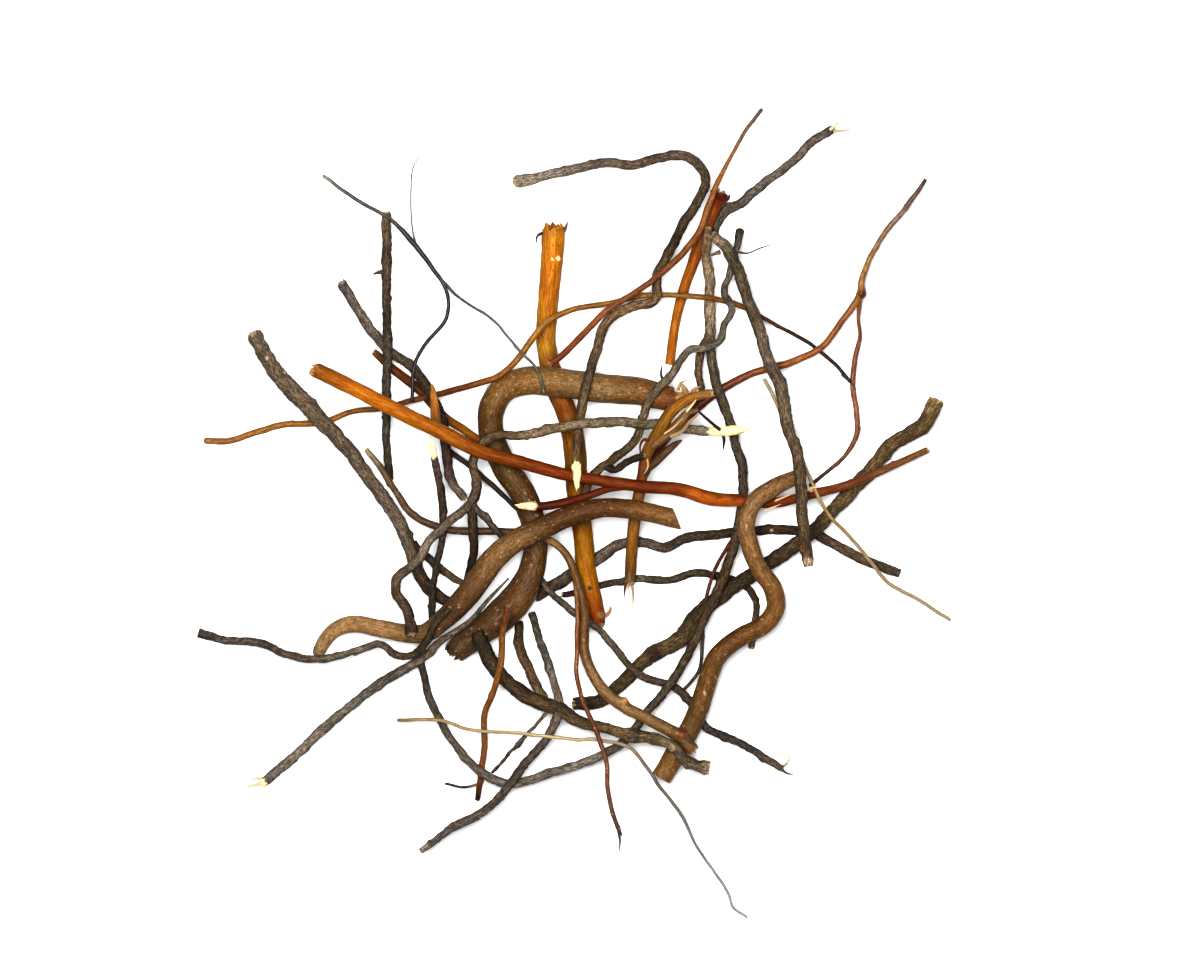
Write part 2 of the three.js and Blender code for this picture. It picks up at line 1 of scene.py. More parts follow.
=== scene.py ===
"""A tangle of dry tree roots, lying loose on a pale floor: thirty-four separate roots, each one laid
along the route of its own solid in the frame and grown into bark, bare wood and fibres."""

import math

import bpy
import numpy as np
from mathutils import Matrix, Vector, noise
from mathutils.bvhtree import BVHTree
from mathutils.kdtree import KDTree


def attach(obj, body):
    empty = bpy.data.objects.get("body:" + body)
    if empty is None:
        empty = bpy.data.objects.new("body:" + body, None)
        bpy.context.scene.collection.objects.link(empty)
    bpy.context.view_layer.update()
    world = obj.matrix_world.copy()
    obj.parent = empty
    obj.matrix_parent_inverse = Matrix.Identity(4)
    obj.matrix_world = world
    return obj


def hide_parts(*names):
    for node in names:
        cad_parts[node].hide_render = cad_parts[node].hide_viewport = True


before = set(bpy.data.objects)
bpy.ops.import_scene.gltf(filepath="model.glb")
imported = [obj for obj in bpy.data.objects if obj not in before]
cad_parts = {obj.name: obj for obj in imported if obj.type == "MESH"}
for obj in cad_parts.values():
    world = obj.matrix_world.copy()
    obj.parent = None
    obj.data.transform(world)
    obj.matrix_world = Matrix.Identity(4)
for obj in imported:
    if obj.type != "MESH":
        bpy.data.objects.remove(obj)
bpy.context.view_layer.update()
MM = 0.001

# --- Front brown root ---------------------------------------------------------------------------
# The topmost thick root: smooth brown bark with pale pores, rubbed to a lighter tan on its thin left
# third, which curls down to a round tip. The right end was sawn off at a slant.


def smooth_route(route, spacing):
    """Points (x, y, thickness) every so many millimetres along a smooth curve through the route."""
    knots = np.array(route, float)
    knots = np.vstack([2 * knots[0] - knots[1], knots, 2 * knots[-1] - knots[-2]])
    pieces = []
    for before, start, end, after in zip(knots, knots[1:], knots[2:], knots[3:]):
        gaps = [math.dist(p[:2], q[:2]) ** 0.5 for p, q in ((before, start), (start, end), (end, after))]
        first, span, last = gaps
        leave = (start - before) / first - (end - before) / (first + span) + (end - start) / span
        arrive = (end - start) / span - (after - start) / (span + last) + (after - end) / last
        t = np.linspace(0, 1, 30, endpoint=False)[:, None]
        curve = start + leave * span * t
        curve = curve + (-3 * start + 3 * end - (2 * leave + arrive) * span) * t**2
        curve = curve + (2 * start - 2 * end + (leave + arrive) * span) * t**3
        curve[:, 2] = (start[2] + (end[2] - start[2]) * t)[:, 0]
        pieces.append(curve)
    curve = np.vstack([*pieces, knots[-2]])
    walked = np.r_[0, np.cumsum(np.hypot(*np.diff(curve[:, :2], axis=0).T))]
    stations = np.linspace(0, walked[-1], max(3, round(walked[-1] / spacing) + 1))
    return stations, np.column_stack([np.interp(stations, walked, column) for column in curve.T])


def plumbed_heights(solid, walked, plan):
    """Height of the frame solid's middle under each plan point, found by dropping plumb lines.

    The lines fall a little beside the solid's own rings, which are about ring_gap millimetres apart, so
    that none meets an edge."""
    ring_gap, nudge = 8.5, 0.15
    drop_from, same_skin, step_past = 0.3, 1e-5, 1e-6
    places = [tuple(vertex.co) for vertex in solid.data.vertices]
    tree = BVHTree.FromPolygons(places, [tuple(face.vertices) for face in solid.data.polygons])
    steps = max(2, round(walked[-1] / ring_gap))
    stations = np.linspace(0, walked[-1], steps + 1)
    stations[0] += 3 * nudge
    stations[1:] += nudge
    stations[-1] -= 4 * nudge
    heights = []
    for x, y in zip(*(np.interp(stations, walked, plan[:, k]) * MM for k in (0, 1))):
        hits = []
        start = drop_from
        while True:
            spot = tree.ray_cast(Vector((x, y, start)), Vector((0, 0, -1)))[0]
            if spot is None:
                break
            if not hits or hits[-1] - spot.z > same_skin:
                hits.append(spot.z)
            start = spot.z - step_past
        middles = [(top + low) / 2 for top, low in zip(hits[::2], hits[1::2])]
        if middles:
            aim = heights[-1] if heights else middles[0]
            heights.append(min(middles, key=lambda height: abs(height - aim)))
        else:
            heights.append(heights[-1] if heights else float("nan"))
    heights = np.array(heights)
    heights[np.isnan(heights)] = heights[~np.isnan(heights)][0]
    return np.interp(walked, stations, heights) / MM


def speckle(places, size, seed):
    """Smooth random numbers from -1 to 1 at places in millimetres, changing over the given size."""
    shift = Vector((seed * 17.3, seed * 5.7, seed * 11.9))
    scaled = np.asarray(places) / size
    return np.array([noise.noise(Vector(place) + shift) for place in scaled])


# How an end is closed. Its rings are (distance past the end in root radii, share of the radius). jag is how
# far its splinters stand in and out, reach over what length, both in radii, and bare how bare its wood is.
BROKEN = [(-0.5, 1), (-0.2, 0.97), (0, 0.84), (0.03, 0.64), (0.05, 0.42), (0.07, 0.2), (0.09, 0.03)]
SAWN = [(-0.12, 1), (-0.03, 0.96), (0, 0.84), (0.002, 0.62), (0.004, 0.38), (0.006, 0.16), (0.008, 0.03)]
TORN = [
    (-3, 1), (-2.2, 0.96), (-1.5, 0.88), (-0.8, 0.74), (-0.2, 0.56), (0.3, 0.38), (0.7, 0.2), (0.9, 0.04),
]
ROUND = [(math.sin(a) - 1, math.cos(a)) for a in np.linspace(0.15, 1.5, 7)]
ROUND_TIP = {"rings": ROUND, "jag": 0, "reach": 1, "bare": 0}
SAWN_END = {"rings": SAWN, "jag": 0, "reach": 1, "bare": 0.8}
SNAPPED_END = {"rings": BROKEN, "jag": 0.9, "reach": 0.5, "bare": 0.25}
WORN_END = {"rings": BROKEN, "jag": 0.8, "reach": 0.8, "bare": 0}
TORN_END = {"rings": TORN, "jag": 1.7, "reach": 3, "bare": 1}
BURIED_END = {"rings": [(0, 1)], "jag": 0, "reach": 1, "bare": 0}


def select_only(piece):
    bpy.ops.object.select_all(action="DESELECT")
    piece.select_set(True)
    bpy.context.view_layer.objects.active = piece


def bevelled_curve(name, points, radii, sides):
    """A round tube of that many sides through the points, made as a bevelled curve, open at its ends."""
    curve = bpy.data.curves.new(name, "CURVE")
    curve.dimensions = "3D"
    curve.twist_mode = "Z_UP"
    curve.bevel_depth = 1
    curve.bevel_resolution = (sides - 4) // 2
    curve.use_fill_caps = False
    spline = curve.splines.new("POLY")
    spline.points.add(len(points) - 1)
    spline.points.foreach_set("co", np.column_stack([points, np.ones(len(points))]).ravel())
    spline.points.foreach_set("radius", radii)
    tube = bpy.data.objects.new(name, curve)
    bpy.context.scene.collection.objects.link(tube)
    select_only(tube)
    bpy.ops.object.convert(target="MESH")
    return tube


def close_ends(tube):
    select_only(tube)
    bpy.ops.object.mode_set(mode="EDIT")
    bpy.ops.mesh.select_mode(type="VERT")
    bpy.ops.mesh.select_all(action="SELECT")
    bpy.ops.mesh.fill_holes(sides=0)
    bpy.ops.mesh.select_all(action="DESELECT")
    bpy.ops.object.mode_set(mode="OBJECT")


def linear(colour):
    """An sRGB hex colour as linear red, green and blue."""
    parts = [int(colour[k : k + 2], 16) / 255 for k in (1, 3, 5)]
    return [part / 12.92 if part <= 0.04045 else ((part + 0.055) / 1.055) ** 2.4 for part in parts]


def keep(mesh, name, kind, values):
    """Stores one value for each vertex, which the bark materials read."""
    field = {"FLOAT": "value", "FLOAT_VECTOR": "vector", "FLOAT_COLOR": "color"}[kind]
    mesh.attributes.new(name, kind, "POINT").data.foreach_set(field, np.asarray(values, float).ravel())


# What every root shares, in millimetres unless it says otherwise.
FULL_BULK = 8  # from this thickness on, a root is plumped by its habit's whole amount
KINK_FADE = 6  # kinks die out over this length towards an end
CLEAR_OF_END = 0.2  # least gap between the last full ring and the first closing one
LEAST_SIDES, MOST_SIDES = 8, 44
SMOOTHING = 9  # how many heights along the route are averaged
FLOOR_GAP = 0.02
GRAIN_SHIFT = 700  # moves each root along the grain, so that no two show the same pattern
TORN_BARE = 2.2  # how far bare wood runs back from a torn end, in radii
strands_made = 0


def strand(
    node, route, habit, tones, ends=(SNAPPED_END, SNAPPED_END), slant=(0, 0), peeled=(), marks=(), flare=0
):
    """One stretch of root along its route, with its bark's relief, closed at both ends.

    tones are (share of the length, colour). slant is how far each cut runs along the root from one side
    to the other. peeled are bare stretches (from, to), as shares of the length. marks are spots on the
    upper side, as (x, y, size, lift, colour), where a colour of None is bare wood. flare widens the foot
    of a branch."""
    global strands_made
    strands_made += 1
    seed = strands_made
    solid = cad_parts[node]
    walked, plan = smooth_route(route, habit["spacing"])
    heights = plumbed_heights(solid, walked, plan)
    kernel = np.hanning(SMOOTHING) / np.hanning(SMOOTHING).sum()
    heights = np.convolve(np.pad(heights, SMOOTHING // 2, mode="edge"), kernel, mode="valid")
    radii = plan[:, 2] / 2 + habit["plump"] * np.minimum(1, plan[:, 2] / FULL_BULK)
    length = walked[-1]

    # Small kinks sideways, which fade out at both ends.
    middle = np.column_stack([plan[:, :2], np.maximum(heights, radii)])
    ahead = np.gradient(middle, axis=0)
    ahead /= np.linalg.norm(ahead, axis=1)[:, None]
    side = np.column_stack([ahead[:, 1], -ahead[:, 0], np.zeros(len(ahead))])
    side /= np.linalg.norm(side, axis=1)[:, None]
    along = np.column_stack([walked, np.zeros_like(walked), np.zeros_like(walked)])
    fade = np.clip(np.minimum(walked, length - walked) / KINK_FADE, 0, 1)
    middle += side * (speckle(along, habit["kink_length"], seed) * habit["kink"] * fade)[:, None]

    # The closing rings at each end carry straight on from the last point.
    def closing(end, style):
        inward = ahead[0] if end == 0 else -ahead[-1]
        radius = radii[end]
        start, sense = (length, 1) if end else (0, -1)
        spots = [middle[end] - inward * reach * radius for reach, share in style["rings"]]
        places = [start + sense * reach * radius for reach, share in style["rings"]]
        shares = [share for reach, share in style["rings"]]
        return spots, [radius * share for share in shares], places, shares

    first, last = closing(0, ends[0]), closing(-1, ends[1])
    inside = (walked > first[2][0] + CLEAR_OF_END) & (walked < last[2][0] - CLEAR_OF_END)
    centres = np.vstack([first[0][::-1], middle[inside], last[0]])
    base = np.r_[first[1][::-1], radii[inside], last[1]]
    places = np.r_[first[2][::-1], walked[inside], last[2]]
    share = np.r_[first[3][::-1], np.ones(inside.sum()), last[3]]

    facets = math.pi * plan[:, 2].max() / habit["facet"]
    sides = 2 * round(np.clip(facets, LEAST_SIDES, MOST_SIDES) / 2)
    tube = bevelled_curve(node, centres * MM, base * MM, sides)
    mesh = tube.data
    spots = np.empty(len(mesh.vertices) * 3)
    mesh.vertices.foreach_get("co", spots)
    spots = spots.reshape(len(centres), sides, 3) / MM
    out = spots - centres[:, None]
    reach = np.linalg.norm(out, axis=2)
    out /= reach[..., None]

    # Where each vertex would be on the same root pulled straight, with its top along +Y.
    forward = np.gradient(centres, axis=0)
    forward /= np.linalg.norm(forward, axis=1)[:, None]
    across = np.column_stack([forward[:, 1], -forward[:, 0], np.zeros(len(forward))])
    across /= np.linalg.norm(across, axis=1)[:, None]
    above = np.cross(across, forward)
    turn_x = (out * across[:, None]).sum(2)
    turn_y = (out * above[:, None]).sum(2)
    down = np.repeat(places[:, None], sides, 1)
    flat = np.stack([turn_x * base[:, None], turn_y * base[:, None], down], 2)
    straight = flat.reshape(-1, 3)

    # Relief: slow swelling, lumps, long furrows and knots, each as a share of the root's own radius.
    swell = speckle(np.column_stack([places, 0 * places, 0 * places + 40]), habit["swell_length"], seed)
    relief = np.repeat(1 + habit["swell"] * swell[:, None], sides, 1)
    lumps = speckle(straight / (1, 1, 1.6), habit["lump_size"], seed).reshape(relief.shape)
    relief += habit["lump"] * lumps
    furrows = speckle(straight / (1, 1, habit["furrow_stretch"]), habit["furrow_width"], seed + 50)
    depth = habit["furrow"] * (0.5 - np.abs(furrows) * 2).reshape(relief.shape)
    relief += depth / base.max(initial=1, where=share > 0.99)
    draw = np.random.default_rng(seed)
    for _ in range(round(length / 100 * habit["knots"])):
        spot, angle, tall, wide = draw.random(4)
        spot, angle = spot * length, angle * math.tau
        tall = habit["knot"] * (0.5 + tall)
        wide = habit["knot_size"] * (0.6 + 0.8 * wide)
        near = np.argmin(np.abs(places - spot))
        gap_x = flat[..., 0] - math.cos(angle) * base[near]
        gap_y = flat[..., 1] - math.sin(angle) * base[near]
        gap = gap_x**2 + gap_y**2 + ((flat[..., 2] - spot) / 1.4) ** 2
        relief += tall / base[near] * np.exp(-gap / (2 * wide**2))
    if flare:
        relief += flare * np.exp(-places / (0.9 * base[0]))[:, None]
    upper = turn_y > -0.1
    stain = []
    for x, y, size, lift, colour in marks:
        gap = (spots[..., 0] - x) ** 2 + (spots[..., 1] - y) ** 2
        close = np.where(upper, np.exp(-gap / (2 * (size / 2) ** 2)), 0)
        relief += lift / base.max() * close
        stain.append((close.ravel(), colour))
    spots = centres[:, None] + out * (reach * relief)[..., None]

    # A slanting cut slides the end's rings along the root; a break pushes its splintered face in and out.
    for end, style, tilt in ((0, ends[0], slant[0]), (-1, ends[1], slant[1])):
        inward = places if end == 0 else length - places
        radius = base.max() if len(places) < 20 else radii[end]
        if tilt:
            weight = np.clip(1 - inward / (1.5 * abs(tilt)), 0, 1)[:, None]
            slide = tilt * turn_x * share[:, None] * 0.5 * weight
            spots += forward[:, None] * slide[..., None]
        if style["jag"]:
            weight = np.clip(1 - inward / (style["reach"] * radius), 0, 1)[:, None]
            face = np.column_stack([straight[:, :2], 0 * straight[:, 0]])
            rough = speckle(face, 0.22 * radius + 0.3, seed + 90)
            jag = rough.reshape(relief.shape) * style["jag"] * radius * weight
            spots += forward[:, None] * (jag if end else -jag)[..., None]
    spots[..., 2] = np.maximum(spots[..., 2], FLOOR_GAP)
    mesh.vertices.foreach_set("co", (spots * MM).ravel())

    # What the materials read: the straightened place, the bark's own tone and how bare the wood is. The
    # tone drifts unevenly along the root, and is painted darker on its flanks and underside than on its
    # top: painted shade.
    keep(mesh, "grain", "FLOAT_VECTOR", (straight + (0, 0, GRAIN_SHIFT * seed)) * MM)
    # Where a root runs under others its tones are darker: partly its own colour, partly painted shadow.
    stops, colours = zip(*tones)
    colours = np.array([linear(colour) for colour in colours])
    drift = straight[:, 2] + 4 * speckle(straight, 6, seed + 20)
    tone = np.column_stack([np.interp(drift / length, stops, channel) for channel in colours.T])
    # Painted shade: the tone is darkened from the top towards the sides and underside, down to the habit's
    # share.
    painted_flank_shade = habit["painted_flank_shade"]
    tone *= (painted_flank_shade + (1 - painted_flank_shade) * np.clip(turn_y, 0, 1)).reshape(-1, 1)
    bare = np.zeros(len(straight))
    ragged = straight[:, 2] + 2.5 * speckle(straight / (1, 1, 3), 1.5, seed + 30)
    beyond = 9  # a peeled stretch that reaches an end goes past it, over the closing rings
    for start, stop in peeled:
        low = start * length if start else -beyond
        high = stop * length if stop < 1 else length + beyond
        bare = np.maximum(bare, np.clip(np.minimum(ragged - low, high - ragged) / 0.8 + 0.5, 0, 1))
    for close, colour in stain:
        blend = np.clip((close - 0.45) * 4, 0, 1)
        if colour is None:
            bare = np.maximum(bare, blend)
        else:
            tone = tone + (np.array(linear(colour)) - tone) * blend[:, None]
    shares = np.repeat(share[:, None], sides, 1).ravel()
    for end, style in ((0, ends[0]), (-1, ends[1])):
        inward = length - ragged if end else ragged
        cut = (shares < 0.9) & (inward < length / 2)
        if style is TORN_END:
            cut = inward < TORN_BARE * radii[end]
        bare = np.maximum(bare, np.where(cut, style["bare"], 0))
    keep(mesh, "tone", "FLOAT_COLOR", np.column_stack([tone, np.ones(len(tone))]))
    keep(mesh, "bare", "FLOAT", bare)
    mesh.update()
    close_ends(tube)
    return tube


STORED = {"position": ("vector", 3), "grain": ("vector", 3), "tone": ("color", 4), "bare": ("value", 1)}


def kept(mesh):
    """Every vertex's place, and the values stored for it."""
    table = {}
    for name, (field, width) in STORED.items():
        table[name] = np.empty(len(mesh.vertices) * width, np.float32)
        mesh.attributes[name].data.foreach_get(field, table[name])
        table[name] = table[name].reshape(-1, width)
    return table


def union(root, *branches):
    """Welds the branches onto the root as one closed skin. Each vertex keeps the values that it had."""
    tables = [kept(part.data) for part in (root, *branches)]
    before = {name: np.vstack([table[name] for table in tables]) for name in tables[0]}
    for branch in branches:
        weld = root.modifiers.new("weld", "BOOLEAN")
        weld.operation = "UNION"
        weld.solver = "EXACT"
        weld.object = branch
        select_only(root)
        bpy.ops.object.modifier_apply(modifier=weld.name)
        bpy.data.objects.remove(branch)
    nearest = KDTree(len(before["position"]))
    for number, place in enumerate(before["position"]):
        nearest.insert(place, number)
    nearest.balance()
    mesh = root.data
    match = [nearest.find(vertex.co)[1] for vertex in mesh.vertices]
    for name in ("grain", "tone", "bare"):
        mesh.attributes[name].data.foreach_set(STORED[name][0], before[name][match].ravel())


def settle_in(root, name, material):
    """Gives the finished root its name, its material and its shading."""
    root.name = root.data.name = name
    root.data.materials.clear()
    root.data.materials.append(material)
    select_only(root)
    bpy.ops.object.shade_smooth_by_angle(angle=math.radians(50))


def add_node(tree, kind, settings=None, **inputs):
    """Adds one shader node, with its settings, and its inputs as values or as links from other nodes."""
    made = tree.nodes.new(kind)
    for key, value in (settings or {}).items():
        setattr(made, key, value)
    for key, value in inputs.items():
        socket = made.inputs[int(key[1:])] if key[0] == "i" and key[1:].isdigit() else made.inputs[key]
        if isinstance(value, bpy.types.NodeSocket):
            tree.links.new(value, socket)
        else:
            socket.default_value = value
    return made


def bark(name, finish):
    """A bark that follows the root: streaks along the grain, flecks, pores, and bare wood where cut.

    The widths of streak, patch, fleck and pore are in millimetres, and stretch is how many times longer
    than wide a streak is. shade and light multiply the root's own tone. flecks, patchy and pores are how
    strongly those show. Real flecks are 0.1 to 0.2 mm and are drawn two to four times as coarse, so that
    they can be seen."""
    material = bpy.data.materials.new(name)
    material.use_nodes = True
    tree = material.node_tree
    tree.nodes.clear()
    grain = add_node(tree, "ShaderNodeAttribute", {"attribute_name": "grain"}).outputs["Vector"]
    tone = add_node(tree, "ShaderNodeAttribute", {"attribute_name": "tone"}).outputs["Color"]
    bare = add_node(tree, "ShaderNodeAttribute", {"attribute_name": "bare"}).outputs["Fac"]

    def noise_along(width, length, detail):
        """Noise whose marks are so many millimetres wide round the root and long along it."""
        lengths = [1 / (size * MM) for size in (width, width, length)]
        place = add_node(tree, "ShaderNodeMapping", {}, Vector=grain, Scale=lengths).outputs["Vector"]
        pattern = add_node(tree, "ShaderNodeTexNoise", {}, Vector=place, Scale=1.0, Detail=detail)
        return pattern.outputs["Fac"]

    def spread(value, low, high, start, stop):
        """Spreads a value from one range over another, held at its ends."""
        inputs = {"Value": value, "From Min": low, "From Max": high, "To Min": start, "To Max": stop}
        return add_node(tree, "ShaderNodeMapRange", {}, **inputs).outputs["Result"]

    def mixed(share, below, above, blend="MIX"):
        look = {"data_type": "RGBA", "blend_type": blend}
        return add_node(tree, "ShaderNodeMix", look, Factor=share, i6=below, i7=above).outputs[2]

    streaks = noise_along(finish["streak"], finish["streak"] * finish["stretch"], 4.0)
    patches = noise_along(finish["patch"], finish["patch"] * 2, 2.0)
    flecks = noise_along(finish["fleck"], finish["fleck"] * 1.6, 3.0)
    # The streaks also raise the bump, so the bark is painted darker in its grooves and lighter on its
    # ridges: partly the bark's own colour, partly painted shade and painted highlight. Flecks and patches
    # fall at random.
    dark = mixed(1.0, tone, (*linear(finish["shade"]), 1), "MULTIPLY")
    worn_and_highlit = mixed(1.0, tone, finish["light"], "MULTIPLY")
    colour = mixed(spread(streaks, 0.3, 0.6, 1, 0), tone, dark)
    colour = mixed(spread(streaks, 0.5, 0.75, 0, 1), colour, worn_and_highlit)
    colour = mixed(spread(flecks, 0.5, 0.68, 0, finish["flecks"]), colour, worn_and_highlit)
    colour = mixed(spread(flecks, 0.3, 0.48, finish["flecks"], 0), colour, dark)
    colour = mixed(spread(patches, 0.35, 0.7, 0.0, finish["patchy"]), colour, dark)
    cell = 1 / (finish["pore"] * MM)
    squeezed = add_node(tree, "ShaderNodeMapping", {}, Vector=grain, Scale=(cell, cell, cell * 0.7))
    pores = add_node(tree, "ShaderNodeTexVoronoi", {}, Vector=squeezed.outputs["Vector"], Scale=1.0)
    pores = spread(pores.outputs["Distance"], 0.08, 0.2, finish["pores"], 0)
    colour = mixed(pores, colour, (*linear(finish["pore_tone"]), 1))
    grain_width, grain_length = 0.35, 6
    fibres = noise_along(grain_width, grain_length, 3.0)
    pale_wood, dark_wood = (*linear(finish["wood"]), 1), (*linear(finish["wood_dark"]), 1)
    wood = mixed(spread(fibres, 0.35, 0.65, 0, 1), dark_wood, pale_wood)
    colour = mixed(bare, colour, wood)
    bump = add_node(tree, "ShaderNodeBump", {}, Height=streaks, Distance=finish["bump"] * MM, Strength=1.0)
    surface = add_node(tree, "ShaderNodeBsdfPrincipled", {}, Normal=bump.outputs["Normal"])
    surface.inputs["IOR"].default_value = 1.45
    surface.inputs["Specular IOR Level"].default_value = finish["sheen"]
    tree.links.new(colour, surface.inputs["Base Color"])
    roughness = spread(streaks, 0.3, 0.7, finish["rough"] + 0.1, finish["rough"] - 0.1)
    tree.links.new(roughness, surface.inputs["Roughness"])
    add_node(tree, "ShaderNodeOutputMaterial", {}, Surface=surface.outputs["BSDF"])
    return material


# flank is how dark the painted shade on a root's sides and underside gets, as a share of its top's tone.
SMOOTH_HABIT = {
    "spacing": 0.9, "facet": 0.8, "plump": 0.25, "kink": 0.25, "kink_length": 14,
    "swell": 0.04, "swell_length": 22, "lump": 0.05, "lump_size": 5,
    "furrow": 0.12, "furrow_width": 1.6, "furrow_stretch": 5, "knots": 1.5, "knot": 0.3, "knot_size": 1,
    "painted_flank_shade": 0.6,
}
# Thin unbroken cork, fine-streaked, with small pale pores: soft mid brown with a dull low sheen.
smooth_brown_bark = bark("smooth brown root bark", {
    "streak": 1.1, "stretch": 3, "patch": 8, "fleck": 0.6, "flecks": 0.9, "patchy": 0.5,
    "shade": "#b8a898", "light": (1.45, 1.42, 1.38, 1), "pore": 3.2, "pores": 0.3, "pore_tone": "#c8b088",
    "wood": "#a98a5c", "wood_dark": "#7a5a34", "bump": 0.35, "rough": 0.62, "sheen": 0.3,
})
front_brown = strand(
    "front_brown_root",
    [
        (-142, -80, 6.5), (-137, -71, 7.5), (-131, -65, 8), (-122, -62, 9), (-108, -64, 9), (-93, -67, 9.5),
        (-82, -67, 10), (-72, -60, 11), (-61, -49, 12.5), (-51, -36, 13), (-44, -26, 13), (-33, -17, 12),
        (-17, -9, 11.5), (-1, -2, 11), (16, 2, 10), (34, 1, 10), (57, -4, 10),
    ],
    SMOOTH_HABIT,
    tones=[
        (0, "#715d43"), (0.08, "#8b6f4b"), (0.18, "#896c47"), (0.25, "#705936"), (0.38, "#4b3118"),
        (0.55, "#795e3a"), (0.7, "#4f3411"), (0.85, "#593914"), (1, "#74572e"),
    ],
    ends=(ROUND_TIP, SAWN_END),
    slant=(0, 7),
)
settle_in(front_brown, "front_brown_root_bark", smooth_brown_bark)
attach(front_brown, "root")
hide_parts("front_brown_root")

# --- Right brown root ---------------------------------------------------------------------------
# A thick S-shaped root of the same smooth bark down the right side, sawn across at its foot, with two
# reddish eyes where rootlets broke away.
right_brown = strand(
    "right_brown_root",
    [
        (122, 19, 7.5), (110, 13, 9), (100, 6, 9), (95, -6, 9.5), (97, -18, 9.5), (102, -31, 9.5),
        (110, -43, 10), (111, -53, 10), (105, -62, 10), (92, -69, 10), (79, -80, 10), (73, -96, 10),
        (68, -111, 10.5), (60, -127, 11), (48, -147, 11),
    ],
    SMOOTH_HABIT,
    tones=[
        (0, "#694b26"), (0.15, "#755938"), (0.45, "#6f4f20"), (0.57, "#5a3914"), (0.7, "#614516"),
        (0.85, "#5e4721"), (1, "#715227"),
    ],
    ends=(SNAPPED_END, SAWN_END),
    marks=[
        (71.5, -102, 3.4, 0.7, "#6c4626"), (72, -99.5, 1.4, 0.3, "#c09878"),
        (68, -111.5, 2.4, 0.5, "#6c4424"),
    ],
)
settle_in(right_brown, "right_brown_root_bark", smooth_brown_bark)
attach(right_brown, "root")
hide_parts("right_brown_root")

# --- Hooked brown root --------------------------------------------------------------------------
# The thickest root, smooth-barked and bent into a hook. It was torn off at the upper right, and its
# lower end is chipped to a blunt point. The stretch under the crown is painted darker: painted shadow
# of the roots lying over it.


def fibre(node, route, colour, bare):
    """A hair or splinter that tapers away from its foot, through (x, y, thickness, rise) in millimetres.

    rise is the height above the middle of the frame's root at the foot. bare is how much of it is bare
    wood."""
    corners = np.array([vertex.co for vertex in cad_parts[node].data.vertices]) / MM
    foot_x, foot_y = route[0][:2]
    near_foot = np.argsort(np.hypot(corners[:, 0] - foot_x, corners[:, 1] - foot_y))[:8]
    level = corners[near_foot, 2].mean()
    spacing, sides, floor_gap = 1.2, 6, 0.05
    walked, plan = smooth_route(route, spacing)
    heights = np.maximum(level + plan[:, 3], plan[:, 2] / 2 + floor_gap)
    hair = bevelled_curve(node, np.column_stack([plan[:, :2], heights]) * MM, plan[:, 2] / 2 * MM, sides)
    count = len(walked) * sides
    turn = np.tile(np.arange(sides) / sides * math.tau, len(walked))
    reach = np.repeat(plan[:, 2] / 2, sides)
    place = np.column_stack([np.cos(turn) * reach, np.sin(turn) * reach, np.repeat(walked, sides)])
    keep(hair.data, "grain", "FLOAT_VECTOR", place * MM)
    keep(hair.data, "tone", "FLOAT_COLOR", [(*linear(colour), 1)] * count)
    keep(hair.data, "bare", "FLOAT", [bare] * count)
    close_ends(hair)
    return hair


def add_fibres(root, node, fibres):
    """Joins hairs and splinters to a root, each given as its colour, how bare it is and its route."""
    hairs = [fibre(node, route, colour, bare) for colour, bare, route in fibres]
    select_only(root)
    for hair in hairs:
        hair.select_set(True)
    bpy.ops.object.join()


hooked_brown = strand(
    "hooked_brown_root",
    [
        (66, 62, 7.5), (54, 62, 12.5), (37, 66, 15), (15, 68, 15.5), (-7, 71, 15.5), (-24, 72, 15),
        (-37, 68, 14.5), (-45, 57, 14), (-45, 42, 13), (-38, 25, 14), (-28, 10, 14), (-22, -7, 13),
        (-21, -24, 13), (-27, -41, 14.5), (-40, -56, 14.5), (-53, -67, 14.5), (-66, -78, 13),
    ],
    SMOOTH_HABIT,
    tones=[
        (0, "#694317"), (0.1, "#6e4e24"), (0.2, "#765e3c"), (0.35, "#7a5b2f"), (0.45, "#543912"),
        (0.55, "#513b12"), (0.65, "#54391b"), (0.75, "#583e1f"), (1, "#4c381f"),
    ],
    ends=(TORN_END, WORN_END),
    marks=[
        (50.3, 62.4, 12, 0.8, "#6c4422"), (-27.2, -50.9, 16, 2.2, "#5c411f"),
        (-34.9, -65.2, 16, 2.6, "#54391b"), (-56.9, -73.4, 6, 0.8, "#453420"),
    ],
)
add_fibres(hooked_brown, "hooked_brown_root", [
    ("#d8c8a0", 1, [(61.9, 65.2, 3.9, 2), (60.8, 67.9, 2.8, 3.5), (58.6, 71.2, 1.1, 4)]),
    ("#d8c8a0", 1, [(65.2, 63.5, 3.3, 2), (66.3, 66.8, 2.8, 2.5), (70.1, 69, 0.8, 3)]),
    ("#5c3c1c", 0, [(63, 61.3, 3.3, 1), (68.5, 64.1, 2.2, 2), (76.2, 65.2, 0.8, 2)]),
    ("#d8c8a0", 1, [(57.5, 66.8, 1.7, 4), (59.1, 70.7, 1.1, 5), (62.4, 72.3, 0.4, 6)]),
])
settle_in(hooked_brown, "hooked_brown_root_bark", smooth_brown_bark)
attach(hooked_brown, "root")
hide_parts("hooked_brown_root")

# --- Long orange root ---------------------------------------------------------------------------
# A nearly straight root that has lost its outer bark: bright orange at its blunt left end and red-brown
# to the right. A pointed stub stands out near the left, and a fork ends in bare cream wood.
STRIPPED_HABIT = {
    "spacing": 0.9, "facet": 0.75, "plump": 0.15, "kink": 0.15, "kink_length": 20,
    "swell": 0.04, "swell_length": 25, "lump": 0.06, "lump_size": 3.5,
    "furrow": 0.22, "furrow_width": 0.9, "furrow_stretch": 14, "knots": 0.8, "knot": 0.3, "knot_size": 0.9,
    "painted_flank_shade": 0.6,
}
